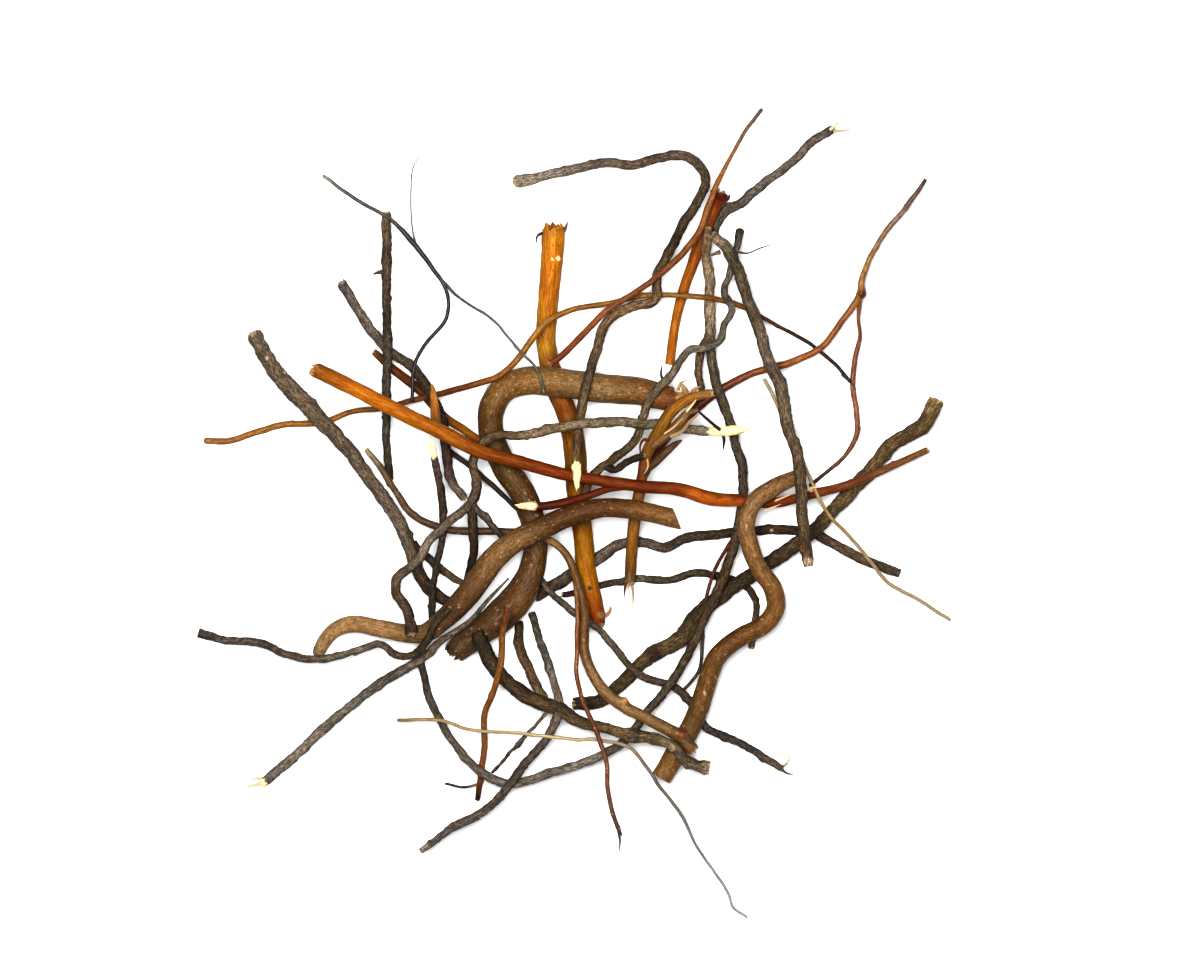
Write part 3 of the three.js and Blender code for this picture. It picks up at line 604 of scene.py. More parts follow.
# Wood under stripped bark: long fine streaks of orange and brown, dark flecks, and hardly any gloss.
stripped_orange_wood = bark("stripped orange root wood", {
    "streak": 0.8, "stretch": 9, "patch": 7, "fleck": 0.5, "flecks": 0.6, "patchy": 0.5,
    "shade": "#c89c84", "light": (1.35, 1.4, 1.2, 1), "pore": 3.4, "pores": 0.5, "pore_tone": "#5a2c10",
    "wood": "#f0d8a8", "wood_dark": "#d0a070", "bump": 0.2, "rough": 0.6, "sheen": 0.2,
})
long_orange = strand(
    "long_orange_root",
    [
        (-142, 78, 8), (-123, 69, 8), (-98, 56, 8), (-73, 44, 8), (-51, 33, 7.5), (-29, 27, 7),
        (-7, 21, 6.5), (15, 17, 6), (37, 14, 6.5), (59, 12, 7), (76, 7, 7.5), (94, 6, 6.5), (111, 5, 5.5),
        (133, 10, 5), (152, 15, 4.5), (171, 23, 4), (195, 34, 3.5),
    ],
    STRIPPED_HABIT,
    tones=[
        (0, "#754c03"), (0.07, "#a46703"), (0.2, "#8d5a03"), (0.3, "#744203"), (0.4, "#713603"),
        (0.55, "#643103"), (0.62, "#804703"), (0.7, "#613303"), (0.8, "#613108"), (1, "#6e5435"),
    ],
    marks=[
        (130.6, 12.4, 3, 0.3, None), (66, 7.5, 9, 0, "#8e4c10"), (74, 4.5, 10, 0, "#94520f"),
        (83, 3, 10, 0, "#94520f"), (92, 2.5, 9, 0, "#8a4810"),
    ],
)
long_orange_stub = strand(
    "long_orange_root",
    [(-75, 44, 5.5), (-76, 55, 5), (-77, 65, 3.5), (-78, 70, 1.5)],
    STRIPPED_HABIT,
    tones=[(0, "#46330a"), (0.6, "#a7742e"), (1, "#926e38")],
    ends=(BURIED_END, ROUND_TIP),
    flare=0.3,
)
long_orange_fork = strand(
    "long_orange_root",
    [(37, 14, 4), (21, 13, 4), (9, 9, 4), (-1, 6, 4.5), (-16, 3, 4.5), (-29, 3, 5)],
    STRIPPED_HABIT,
    tones=[(0, "#602703"), (0.6, "#562303"), (1, "#3a1103")],
    ends=(BURIED_END, TORN_END),
    peeled=[(0.88, 1)],
)
union(long_orange, long_orange_stub, long_orange_fork)
add_fibres(long_orange, "long_orange_root", [
    ("#c89878", 0.5, [(107, 3, 1.1, 2.6), (111.9, 6.3, 1.4, 2.9), (119.1, 9.1, 0.4, 2.6)]),
    ("#c89878", 0.4, [(104.2, 0.3, 0.8, 2.2), (108.6, 1.9, 1.1, 2.4), (114.1, 4.1, 0.4, 2.2)]),
    ("#d8b090", 0.6, [(126.8, 10.2, 1, 2.2), (130.6, 12.9, 1.3, 2.6), (134.5, 13.5, 0.4, 2.4)]),
])
settle_in(long_orange, "long_orange_root_bark", stripped_orange_wood)
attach(long_orange, "root")
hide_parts("long_orange_root")

# --- Upright orange root ------------------------------------------------------------------------
# The thick stripped root through the middle, bright orange wood flecked with brown. Its top is torn to
# rough fibres, and its foot broke off beside a small tan knob.
upright_orange = strand(
    "upright_orange_root",
    [
        (-11, 156, 12.5), (-12, 138, 11.5), (-14, 116, 11), (-15, 92, 10.5), (-10, 70, 11), (-2, 49, 11.5),
        (1, 31, 12), (2, 12, 11.5), (5, -10, 10.5), (7, -32, 10.5), (11, -50, 10), (14, -62, 7.5),
    ],
    STRIPPED_HABIT,
    tones=[
        (0, "#9d6e19"), (0.08, "#ac710a"), (0.3, "#906916"), (0.4, "#784804"), (0.6, "#735103"),
        (0.75, "#7e5703"), (0.9, "#916407"), (0.96, "#84480c"), (1, "#5e2c10"),
    ],
    ends=(WORN_END, SNAPPED_END),
    marks=[
        (-11.8, 138.9, 1.6, 0.2, None), (-8.5, 139.4, 2.2, 0.3, None), (-11.3, 146.6, 1, 0, "#6a3810"),
        (-8.3, 146.6, 1, 0, "#6a3810"), (9, -42, 2.4, -0.4, "#3a2a1c"), (15, -57, 3.4, 1, "#8c7450"),
    ],
)
add_fibres(upright_orange, "upright_orange_root", [
    ("#3a2418", 0, [
        (-14, 152.6, 2.2, 1), (-17.9, 153.2, 1.7, 1.5), (-20.1, 151.5, 1.1, 1), (-20.6, 148.2, 0.6, 0),
    ]),
    ("#8a5a28", 0, [(-14.6, 154.3, 1.7, 1), (-15.1, 156.5, 1.1, 1), (-15.7, 158.7, 0.4, 1)]),
    ("#8a5a28", 0, [(-11.3, 154.3, 1.7, 3), (-10.7, 156.5, 0.8, 3), (-10.7, 158.7, 0.4, 3)]),
    ("#b07430", 0, [(-7.4, 154.3, 1.7, 3), (-7.4, 157, 0.8, 3), (-6.9, 159.2, 0.4, 3)]),
    ("#5a3a20", 0, [(-5.2, 154.3, 1.7, 1), (-4.1, 157, 1.4, 1), (-3, 159.8, 0.4, 1)]),
    ("#6a4a30", 0.2, [
        (15.7, -57.5, 2.2, 2), (18.4, -56.9, 2.2, 2), (20.1, -54.7, 1.7, 1), (20.6, -52, 0.6, 1),
    ]),
])
settle_in(upright_orange, "upright_orange_root_bark", stripped_orange_wood)
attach(upright_orange, "root")
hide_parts("upright_orange_root")

# --- Short orange root --------------------------------------------------------------------------
# A short tapering root at the upper right: a dark red knobbed head with a whitish cut, then orange wood
# down to a pale cut foot.
short_orange = strand(
    "short_orange_root",
    [(81, 176, 7), (77, 166, 6.5), (71, 152, 6.5), (66, 137, 6), (61, 123, 5.5), (56, 103, 5), (53, 81, 5)],
    STRIPPED_HABIT,
    tones=[(0, "#642c07"), (0.12, "#783c08"), (0.3, "#784608"), (0.5, "#8b5704"), (1, "#996207")],
    ends=(SNAPPED_END, SAWN_END),
    marks=[(81.7, 175.5, 8, 3.2, "#4a1806"), (79.5, 178, 2, 0.3, None)],
)
settle_in(short_orange, "short_orange_root_bark", stripped_orange_wood)
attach(short_orange, "root")
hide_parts("short_orange_root")

# --- Torn orange root ---------------------------------------------------------------------------
# A split root. Brown and tan strips stand off its torn upper half, with pinkish and cream slivers between
# them, and its foot ends in long splinters.
torn_orange = strand(
    "torn_orange_root",
    [
        (76, 65, 4.5), (64, 62, 5.5), (54, 55, 6.5), (47, 44, 7), (41, 33, 6.5), (38, 20, 5.5), (36, 9, 6),
        (33, -10, 6.5), (31, -39, 6),
    ],
    STRIPPED_HABIT,
    tones=[
        (0, "#80653b"), (0.1, "#875c1f"), (0.35, "#735b22"), (0.5, "#714b2f"), (0.75, "#88672e"),
        (0.95, "#67491e"), (1, "#61563b"),
    ],
)
add_fibres(torn_orange, "torn_orange_root", [
    ("#4e3a22", 0, [
        (38.2, 20.6, 2.8, 0), (44.8, 27.2, 5, 1), (52, 33.8, 4.4, 1.5), (56.9, 37.7, 2.8, 2),
        (59.7, 39.3, 0.8, 2),
    ]),
    ("#6e5634", 0, [
        (43.2, 35.5, 3.3, 1), (49.8, 41, 5.5, 1.5), (57.5, 48.1, 6.1, 2), (63, 54.2, 4.4, 2.5),
        (68.5, 55.8, 1.7, 3),
    ]),
    ("#a07c5c", 0.35, [(49.8, 42.6, 1.1, 5), (55.3, 46.5, 1.1, 6), (60.2, 51.4, 0.4, 5)]),
    ("#c8b090", 0.55, [(61.9, 54.7, 1.1, 4), (65.2, 58.6, 1.1, 5), (67.9, 62.4, 0.4, 5)]),
    ("#6c5440", 0.2, [(53.1, 41, 2.2, 3), (59.7, 44.3, 2.2, 3), (64.1, 49.8, 1.7, 3), (69, 53.6, 0.6, 3)]),
    ("#a07c5c", 0.3, [(39.9, 31.1, 1.1, 3), (41, 25, 1.1, 4), (38.8, 20.6, 0.4, 4)]),
    ("#5a2c14", 0, [
        (42.1, 39.3, 1.7, 3), (38.2, 39.3, 1.7, 2), (36.6, 35.5, 1.1, 1), (37.1, 30.5, 0.6, 1),
    ]),
    ("#5a3818", 0, [(29.4, -37.1, 2.2, 0), (28.3, -42.1, 1.4, 0), (27.8, -47.6, 0.4, 0)]),
    ("#6a5a44", 0.2, [(31.6, -37.1, 2.2, 0), (32.7, -44.3, 1.1, 0), (32.7, -53.6, 0.4, 0)]),
    ("#8a6438", 0.3, [(30, -34.9, 1.7, 1), (30.5, -40.4, 1.1, 1), (30, -43.7, 0.4, 0)]),
])
settle_in(torn_orange, "torn_orange_root_bark", stripped_orange_wood)
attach(torn_orange, "root")
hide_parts("torn_orange_root")

# --- Slim orange root ---------------------------------------------------------------------------
# A slim root under the upper left crossings, orange-brown, snapped at both ends.
slim_orange = strand(
    "slim_orange_root",
    [(-110, 88, 3.5), (-100, 79, 4.5), (-84, 66, 5), (-72, 53, 4.5), (-59, 44, 4.5), (-45, 34, 4)],
    STRIPPED_HABIT,
    tones=[(0, "#524012"), (0.2, "#5d3103"), (0.5, "#533904"), (0.8, "#825606"), (1, "#975e0f")],
)
settle_in(slim_orange, "slim_orange_root_bark", stripped_orange_wood)
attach(slim_orange, "root")
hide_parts("slim_orange_root")

# --- Long russet root ---------------------------------------------------------------------------
# A long thin root right across the tangle, with tight satiny russet bark that is orange where it is
# rubbed and almost black over its last stretch at the right.
RUSSET_HABIT = {
    "spacing": 0.8, "facet": 0.6, "plump": 0.1, "kink": 0.35, "kink_length": 9,
    "swell": 0.07, "swell_length": 12, "lump": 0.05, "lump_size": 2,
    "furrow": 0.08, "furrow_width": 0.8, "furrow_stretch": 7, "knots": 2.5, "knot": 0.35, "knot_size": 0.7,
    "painted_flank_shade": 0.6,
}
# Tight young bark: fine streaks, tiny dark pores and a satin sheen.
satiny_russet_bark = bark("satiny russet rootlet bark", {
    "streak": 0.6, "stretch": 6, "patch": 5, "fleck": 0.5, "flecks": 0.7, "patchy": 0.5,
    "shade": "#ac9080", "light": (1.5, 1.5, 1.4, 1), "pore": 1.8, "pores": 0.3, "pore_tone": "#3a1c10",
    "wood": "#e8d0a8", "wood_dark": "#c09a68", "bump": 0.12, "rough": 0.5, "sheen": 0.3,
})
long_russet = strand(
    "long_russet_root",
    [
        (-204, 39, 3.5), (-190, 39, 3.5), (-177, 43, 3.5), (-159, 48, 3.5), (-139, 49, 3.5), (-122, 55, 3),
        (-105, 57, 3), (-90, 61, 3), (-73, 65, 3.5), (-54, 70, 3.5), (-40, 75, 3.5), (-29, 86, 3.5),
        (-16, 103, 3.5), (-1, 111, 3), (17, 114, 3), (42, 119, 3), (70, 118, 3), (90, 114, 3),
        (111, 103, 2), (131, 92, 2), (144, 81, 2), (153, 71, 2),
    ],
    RUSSET_HABIT,
    tones=[
        (0, "#835a1f"), (0.16, "#805511"), (0.25, "#6d4910"), (0.35, "#5d300b"), (0.5, "#8e6315"),
        (0.6, "#7d5413"), (0.7, "#835e1b"), (0.8, "#6b4814"), (0.88, "#3a1a0a"), (0.94, "#221510"),
        (1, "#1e1412"),
    ],
    ends=(ROUND_TIP, ROUND_TIP),
)
add_fibres(long_russet, "long_russet_root", [
    ("#2a1c14", 0, [(147.7, 75.6, 1.7, 0), (153.2, 70.7, 1.1, 0), (155.9, 66.8, 0.4, 0)]),
])
settle_in(long_russet, "long_russet_root_bark", satiny_russet_bark)
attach(long_russet, "root")
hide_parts("long_russet_root")

# --- Top russet root ----------------------------------------------------------------------------
# A thin root of the same bark, down from the topmost tip, greyer towards the tip.
top_russet = strand(
    "top_russet_root",
    [
        (104, 222, 2), (95, 210, 2), (87, 196, 2), (78, 178, 3), (74, 167, 3.5), (70, 156, 3.5),
        (62, 144, 3.5), (48, 131, 3.5), (35, 121, 3.5), (19, 111, 3.5), (6, 98, 3.5), (-6, 86, 3.5),
        (-13, 81, 4),
    ],
    RUSSET_HABIT,
    tones=[
        (0, "#4e4441"), (0.08, "#715a4b"), (0.22, "#895f2c"), (0.4, "#7c5126"), (0.6, "#694020"),
        (0.8, "#7d4d22"), (1, "#643012"),
    ],
    ends=(ROUND_TIP, SNAPPED_END),
)
settle_in(top_russet, "top_russet_root_bark", satiny_russet_bark)
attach(top_russet, "root")
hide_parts("top_russet_root")

# --- Right russet root --------------------------------------------------------------------------
# A thin root that swells to a knot, where a thinner rootlet forks off and hangs down in a long bow.
right_russet = strand(
    "right_russet_root",
    [
        (194, 183, 2), (185, 170, 3), (172, 154, 3), (163, 139, 3), (159, 128, 3.5), (158, 120, 4),
        (150, 108, 3.5), (136, 90, 3.5), (119, 82, 4), (98, 76, 4), (81, 67, 4.5), (70, 59, 5), (60, 50, 5),
        (51, 40, 5), (43, 28, 4.5), (38, 18, 4.5),
    ],
    RUSSET_HABIT,
    tones=[
        (0, "#3d2e2c"), (0.08, "#6c554c"), (0.25, "#8a6a3c"), (0.38, "#7c4c1e"), (0.5, "#86501c"),
        (0.6, "#804c18"), (0.7, "#5e3010"), (0.85, "#5a2c10"), (1, "#5a2c10"),
    ],
    marks=[(159.2, 119.6, 4, 0.9, "#401408"), (159, 120, 3.4, 0.9, "#5a3018")],
)
right_russet_fork = strand(
    "right_russet_root",
    [
        (158, 120, 3), (157, 106, 2), (158, 97, 2), (155, 83, 3), (154, 70, 3), (156, 55, 3), (156, 42, 3),
        (149, 30, 2), (139, 21, 2), (130, 14, 2),
    ],
    RUSSET_HABIT,
    tones=[
        (0, "#7c5c30"), (0.2, "#6a3a1c"), (0.5, "#83583c"), (0.75, "#6b4028"), (0.9, "#3a1a10"),
        (1, "#2c1610"),
    ],
    ends=(BURIED_END, ROUND_TIP),
    flare=0.4,
)
union(right_russet, right_russet_fork)
settle_in(right_russet, "right_russet_root_bark", satiny_russet_bark)
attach(right_russet, "root")
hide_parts("right_russet_root")

# --- Lower russet root --------------------------------------------------------------------------
# A thin root hanging out at the lower left, orange above and dark at its foot, with one black twig.
lower_russet = strand(
    "lower_russet_root",
    [
        (-36, -52, 3.5), (-39, -68, 3.5), (-40, -84, 3.5), (-44, -99, 3.5), (-49, -112, 3.5),
        (-49, -130, 3.5), (-51, -145, 3.5), (-53, -159, 3),
    ],
    RUSSET_HABIT,
    tones=[
        (0, "#5b2e0f"), (0.2, "#7e582c"), (0.5, "#724a26"), (0.85, "#794f2a"), (0.97, "#2d170d"),
        (1, "#1e1009"),
    ],
)
lower_russet_twig = strand(
    "lower_russet_root",
    [(-52, -150, 1.5), (-61, -152, 1.5), (-71, -150, 1.5)],
    RUSSET_HABIT,
    tones=[(0, "#845f4f"), (0.4, "#322d2d"), (1, "#322829")],
    ends=(BURIED_END, ROUND_TIP),
)
union(lower_russet, lower_russet_twig)
settle_in(lower_russet, "lower_russet_root_bark", satiny_russet_bark)
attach(lower_russet, "root")
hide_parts("lower_russet_root")

# --- Long tan root ------------------------------------------------------------------------------
# A long root with matt tan bark that thickens to its right end, where it has a reddish eye and knobs. Its
# left tip is worn pale, and a thin russet rootlet leaves it at the middle.
TAN_HABIT = {
    **SMOOTH_HABIT,
    "kink": 0.3, "kink_length": 11, "swell": 0.06, "swell_length": 14, "lump": 0.06, "lump_size": 3.5,
    "knots": 3, "knot": 0.35, "plump": 0.2,
}
# Thin dry bark between the brown and the russet: even, fine-grained and matt, with pale pores.
matt_tan_bark = bark("matt tan root bark", {
    "streak": 0.8, "stretch": 5, "patch": 7, "fleck": 0.5, "flecks": 0.7, "patchy": 0.5,
    "shade": "#b4a498", "light": (1.45, 1.45, 1.4, 1), "pore": 2.8, "pores": 0.25, "pore_tone": "#d2b690",
    "wood": "#d8c8a0", "wood_dark": "#b09c70", "bump": 0.2, "rough": 0.6, "sheen": 0.35,
})
long_tan = strand(
    "long_tan_root",
    [
        (-114, 34, 3), (-106, 24, 3.5), (-98, 11, 3.5), (-88, -2, 4), (-73, -9, 4), (-57, -11, 4),
        (-38, -11, 4), (-21, -13, 4), (-6, -21, 4), (2, -38, 4.5), (6, -57, 5), (6, -76, 5.5),
        (10, -88, 5.5), (17, -99, 6.5), (29, -108, 6), (43, -115, 6.5), (57, -123, 6.5), (66, -131, 6),
    ],
    TAN_HABIT,
    tones=[
        (0, "#86765e"), (0.05, "#57442a"), (0.2, "#4d381f"), (0.35, "#422f19"), (0.45, "#74592f"),
        (0.55, "#63431a"), (0.65, "#5b3c16"), (0.8, "#7a603c"), (0.9, "#73582f"), (1, "#56411b"),
    ],
    marks=[
        (60.2, -122.4, 5, 1.3, "#70401e"), (28.3, -103.7, 3.5, 1, "#8a5c34"),
        (64.1, -130.1, 5, 1.2, "#6a4a28"), (60, -122, 2.6, 0.8, "#6e3e20"), (28, -104, 3, 0.8, "#a9805a"),
    ],
)
long_tan_rootlet = strand(
    "long_tan_root",
    [
        (1, -37, 3), (2, -52, 2.5), (2, -71, 2.5), (2, -90, 2.5), (6, -106, 2.5), (13, -122, 2.5),
        (18, -137, 2.5), (19, -153, 2.5), (22, -167, 2.5), (26, -178, 2),
    ],
    RUSSET_HABIT,
    tones=[
        (0, "#6f5431"), (0.25, "#754724"), (0.5, "#643a1e"), (0.8, "#67412e"), (0.95, "#492b20"),
        (1, "#37261d"),
    ],
    ends=(BURIED_END, SNAPPED_END),
    flare=0.3,
)
union(long_tan, long_tan_rootlet)
add_fibres(long_tan, "long_tan_root", [
    ("#3a2c24", 0, [(25, -176.3, 1.9, 0), (25.6, -181.8, 1.1, 0), (25, -187.3, 0.4, 0)]),
])
settle_in(long_tan, "long_tan_root_bark", matt_tan_bark)
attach(long_tan, "root")
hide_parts("long_tan_root")

# --- Yellow rootlets ----------------------------------------------------------------------------
# Two young rootlets with thin, smooth, almost shining yellow skin. One trails out to the right; the
# other runs along the bottom and turns into a wavy grey hair.
YELLOW_HABIT = {
    **RUSSET_HABIT, "plump": 0.05, "kink": 0.35, "kink_length": 8, "swell": 0.06, "knots": 1, "knot": 0.2,
}
# Skin of a young rootlet: smooth and even, the glossiest of all, with a few brown pores.
yellow_skin = bark("smooth yellow rootlet skin", {
    "streak": 0.5, "stretch": 8, "patch": 6, "fleck": 0.5, "flecks": 0.4, "patchy": 0.5,
    "shade": "#d4bca0", "light": (1.15, 1.15, 1.2, 1), "pore": 1.6, "pores": 0.25, "pore_tone": "#8a5a28",
    "wood": "#f2ecc0", "wood_dark": "#d8c08c", "bump": 0.06, "rough": 0.4, "sheen": 0.3,
})
right_yellow = strand(
    "right_yellow_rootlet",
    [
        (105, 73, 2), (111, 61, 2), (118, 46, 2), (125, 31, 2), (131, 16, 2), (140, -1, 2), (153, -15, 2),
        (164, -28, 2), (173, -39, 2), (189, -48, 2), (208, -60, 2),
    ],
    YELLOW_HABIT,
    tones=[(0, "#968c70"), (0.2, "#a89874"), (0.5, "#8a7553"), (1, "#938c77")],
    ends=(SNAPPED_END, ROUND_TIP),
)
settle_in(right_yellow, "right_yellow_rootlet_bark", yellow_skin)
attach(right_yellow, "root")
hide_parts("right_yellow_rootlet")

lower_yellow = strand(
    "lower_yellow_rootlet",
    [
        (-97, -115, 2), (-73, -115, 2), (-57, -120, 2), (-29, -122, 2), (-2, -125, 2), (17, -126, 2),
        (31, -130, 2), (39, -139, 2), (48, -152, 2), (60, -168, 2), (67, -183, 1.5), (75, -195, 1.5),
        (85, -210, 1.5), (88, -218, 1.5), (96, -224, 1.5),
    ],
    YELLOW_HABIT,
    tones=[
        (0, "#6a5a46"), (0.05, "#917753"), (0.2, "#958a6b"), (0.35, "#a69673"), (0.5, "#8d836c"),
        (0.58, "#6f6963"), (0.64, "#605e57"), (1, "#878c91"),
    ],
    ends=(SNAPPED_END, ROUND_TIP),
)
settle_in(lower_yellow, "lower_yellow_rootlet_bark", yellow_skin)
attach(lower_yellow, "root")
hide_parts("lower_yellow_rootlet")

# --- Left grey root -----------------------------------------------------------------------------
# The thick root down the left: dry grey-brown bark, wrinkled lengthwise and full of small knots. Its top
# is broken and pale, and a short fork leaves it at the foot.
WRINKLED_HABIT = {
    "spacing": 0.75, "facet": 0.7, "plump": 0.2, "kink": 0.6, "kink_length": 9,
    "swell": 0.09, "swell_length": 11, "lump": 0.16, "lump_size": 2.6,
    "furrow": 0.5, "furrow_width": 1.1, "furrow_stretch": 4, "knots": 5, "knot": 0.7, "knot_size": 0.9,
    "painted_flank_shade": 0.5,
}
# Old dry bark, shrunk into furrows: grey-brown with light flakes and dark cracks, partly painted
# highlight and painted shade, and quite matt.
wrinkled_grey_bark = bark("wrinkled grey root bark", {
    "streak": 0.6, "stretch": 4.5, "patch": 5, "fleck": 0.45, "flecks": 0.65, "patchy": 0.6,
    "shade": "#7c7268", "light": (2.2, 2.15, 2.05, 1), "pore": 2.2, "pores": 0.25, "pore_tone": "#8c8072",
    "wood": "#ece0b4", "wood_dark": "#c8ac7c", "bump": 0.6, "rough": 0.7, "sheen": 0.25,
})
left_grey = strand(
    "left_grey_root",
    [
        (-176, 98, 8), (-168, 83, 8), (-156, 68, 9), (-139, 50, 8), (-124, 34, 7.5), (-109, 13, 7),
        (-96, -6, 7), (-90, -21, 7), (-83, -38, 6.5), (-73, -48, 6), (-61, -53, 5),
    ],
    WRINKLED_HABIT,
    tones=[
        (0, "#675a4d"), (0.1, "#635745"), (0.5, "#635647"), (0.7, "#6f6255"), (0.85, "#423522"),
        (1, "#403024"),
    ],
    marks=[
        (-133.9, 27.2, 3, 0.6, "#b4a48a"), (-125.7, -4.7, 4, 1, "#40301e"),
        (-168.6, 84.4, 2, 0.3, "#b4a890"), (-159.2, 76.7, 2, 0.3, "#a89c84"),
    ],
)
left_grey_fork = strand(
    "left_grey_root",
    [(-89, -18, 4.5), (-80, -26, 4), (-70, -34, 4), (-58, -42, 3.5)],
    WRINKLED_HABIT,
    tones=[(0, "#3b251e"), (1, "#635740")],
    ends=(BURIED_END, SNAPPED_END),
    flare=0.3,
)
union(left_grey, left_grey_fork)
settle_in(left_grey, "left_grey_root_bark", wrinkled_grey_bark)
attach(left_grey, "root")
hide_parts("left_grey_root")

# --- Right grey root ----------------------------------------------------------------------------
# The other thick wrinkled root, from a broken tan end at the right edge down to the gnarled crown.
right_grey = strand(
    "right_grey_root",
    [
        (200, 61, 8), (192, 47, 8), (177, 38, 7.5), (162, 21, 7.5), (148, 6, 7.5), (133, -10, 7.5),
        (116, -23, 7.5), (95, -37, 7.5), (80, -47, 8), (67, -60, 9), (59, -70, 8), (43, -79, 7.5),
        (28, -93, 7), (15, -104, 7), (0, -106, 6.5),
    ],
    WRINKLED_HABIT,
    tones=[
        (0, "#775f3d"), (0.05, "#58472d"), (0.3, "#5c4c30"), (0.5, "#3b2d1e"), (0.6, "#3b301e"),
        (0.8, "#59492e"), (1, "#3b2c1e"),
    ],
    marks=[
        (44.8, -78.9, 7, 1, "#3a2a1a"), (80.6, -46.5, 6, 0.9, "#4a3824"), (196.1, 55.8, 4, 0.8, "#7a6a54"),
    ],
)
settle_in(right_grey, "right_grey_root_bark", wrinkled_grey_bark)
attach(right_grey, "root")
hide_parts("right_grey_root")

# --- Leaning grey root --------------------------------------------------------------------------
# A wrinkled root lying over everything at the right, paler where it was torn at the top and where it was
# cut at its foot.
leaning_grey = strand(
    "leaning_grey_root",
    [
        (77, 152, 5), (84, 145, 6), (90, 134, 6.5), (95, 119, 6), (101, 103, 6), (106, 86, 6),
        (114, 68, 6.5), (117, 50, 6.5), (123, 31, 6), (125, 12, 6), (126, -10, 5.5), (129, -30, 5.5),
    ],
    WRINKLED_HABIT,
    tones=[
        (0, "#776b5d"), (0.08, "#514735"), (0.25, "#5d4f40"), (0.4, "#695c4d"), (0.7, "#584838"),
        (0.9, "#534630"), (0.97, "#574834"), (1, "#7c6f55"),
    ],
    ends=(SNAPPED_END, SAWN_END),
    marks=[
        (127.3, -20.1, 6, 1.2, "#54402e"), (128.4, -27.2, 4, 0.8, "#9a8270"),
        (78.4, 149.3, 3, 0.6, "#9a7a64"),
    ],
)
add_fibres(leaning_grey, "leaning_grey_root", [
    ("#6a6050", 0, [(80.6, 142.7, 2.8, 0), (77.3, 141.6, 1.9, 1), (74.5, 140, 0.6, 1)]),
])
settle_in(leaning_grey, "leaning_grey_root_bark", wrinkled_grey_bark)
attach(leaning_grey, "root")
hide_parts("leaning_grey_root")

# --- Middle grey root ---------------------------------------------------------------------------
# A bumpy dark root on the floor of the tangle, with a pale scar ring, cut square at the right.
middle_grey = strand(
    "middle_grey_root",
    [
        (-21, -47, 6.5), (-5, -37, 6.5), (12, -27, 6), (26, -18, 5.5), (39, -17, 5), (50, -20, 5),
        (61, -15, 5), (75, -13, 5), (94, -11, 5), (114, -10, 5), (131, -12, 5), (147, -20, 5),
        (163, -28, 5), (180, -34, 5),
    ],
    WRINKLED_HABIT,
    tones=[
        (0, "#3b2e1e"), (0.2, "#63564e"), (0.5, "#3b2f1e"), (0.7, "#3b2b1e"), (0.85, "#63523f"),
        (0.97, "#4d4134"), (1, "#4b403a"),
    ],
    ends=(SNAPPED_END, SAWN_END),
    marks=[(109.2, -10.2, 2, 0.3, "#7c7264")],
)
settle_in(middle_grey, "middle_grey_root_bark", wrinkled_grey_bark)
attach(middle_grey, "root")
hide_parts("middle_grey_root")

# --- Slim grey root -----------------------------------------------------------------------------
# A slim dark root beside it, which turns down at the right to a blunt tip.
slim_grey = strand(
    "slim_grey_root",
    [
        (-6, -46, 3), (6, -44, 3), (17, -40, 3.5), (37, -37, 3.5), (52, -38, 4), (68, -34, 4), (85, -37, 4),
        (96, -42, 3.5), (101, -51, 3.5), (100, -63, 3.5), (98, -75, 3.5),
    ],
    WRINKLED_HABIT,
    tones=[(0, "#3b1e1e"), (0.3, "#4f483c"), (0.6, "#3b311e"), (0.8, "#3b2b1e"), (1, "#725e44")],
)
settle_in(slim_grey, "slim_grey_root_bark", wrinkled_grey_bark)
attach(slim_grey, "root")
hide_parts("slim_grey_root")

# --- Arched grey root ---------------------------------------------------------------------------
# A long knobbly root that arches over the top and comes down the middle to a tip peeled to cream wood.
arched_grey = strand(
    "arched_grey_root",
    [
        (-32, 182, 6), (-16, 185, 5), (2, 189, 5), (16, 192, 5), (32, 191, 5), (48, 195, 5), (60, 196, 5),
        (69, 191, 5), (73, 182, 5), (68, 170, 5), (61, 159, 5), (54, 145, 5), (46, 130, 5), (45, 117, 5),
        (31, 112, 5), (18, 104, 5), (13, 89, 5), (8, 72, 5), (4, 55, 5), (2, 36, 4.5), (2, 15, 4.5),
    ],
    WRINKLED_HABIT,
    tones=[
        (0, "#8b8170"), (0.05, "#7f766a"), (0.2, "#5c4f41"), (0.35, "#544838"), (0.5, "#3b2f1e"),
        (0.65, "#786146"), (0.8, "#584b3a"), (0.93, "#5e4c30"), (1, "#876e46"),
    ],
    ends=(SNAPPED_END, TORN_END),
    peeled=[(0.965, 1)],
    marks=[(-22.8, 179, 4, 0.9, "#6a6050"), (-27.2, 181.2, 3, 0.6, "#8a8070")],
)
settle_in(arched_grey, "arched_grey_root_bark", wrinkled_grey_bark)
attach(arched_grey, "root")
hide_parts("arched_grey_root")

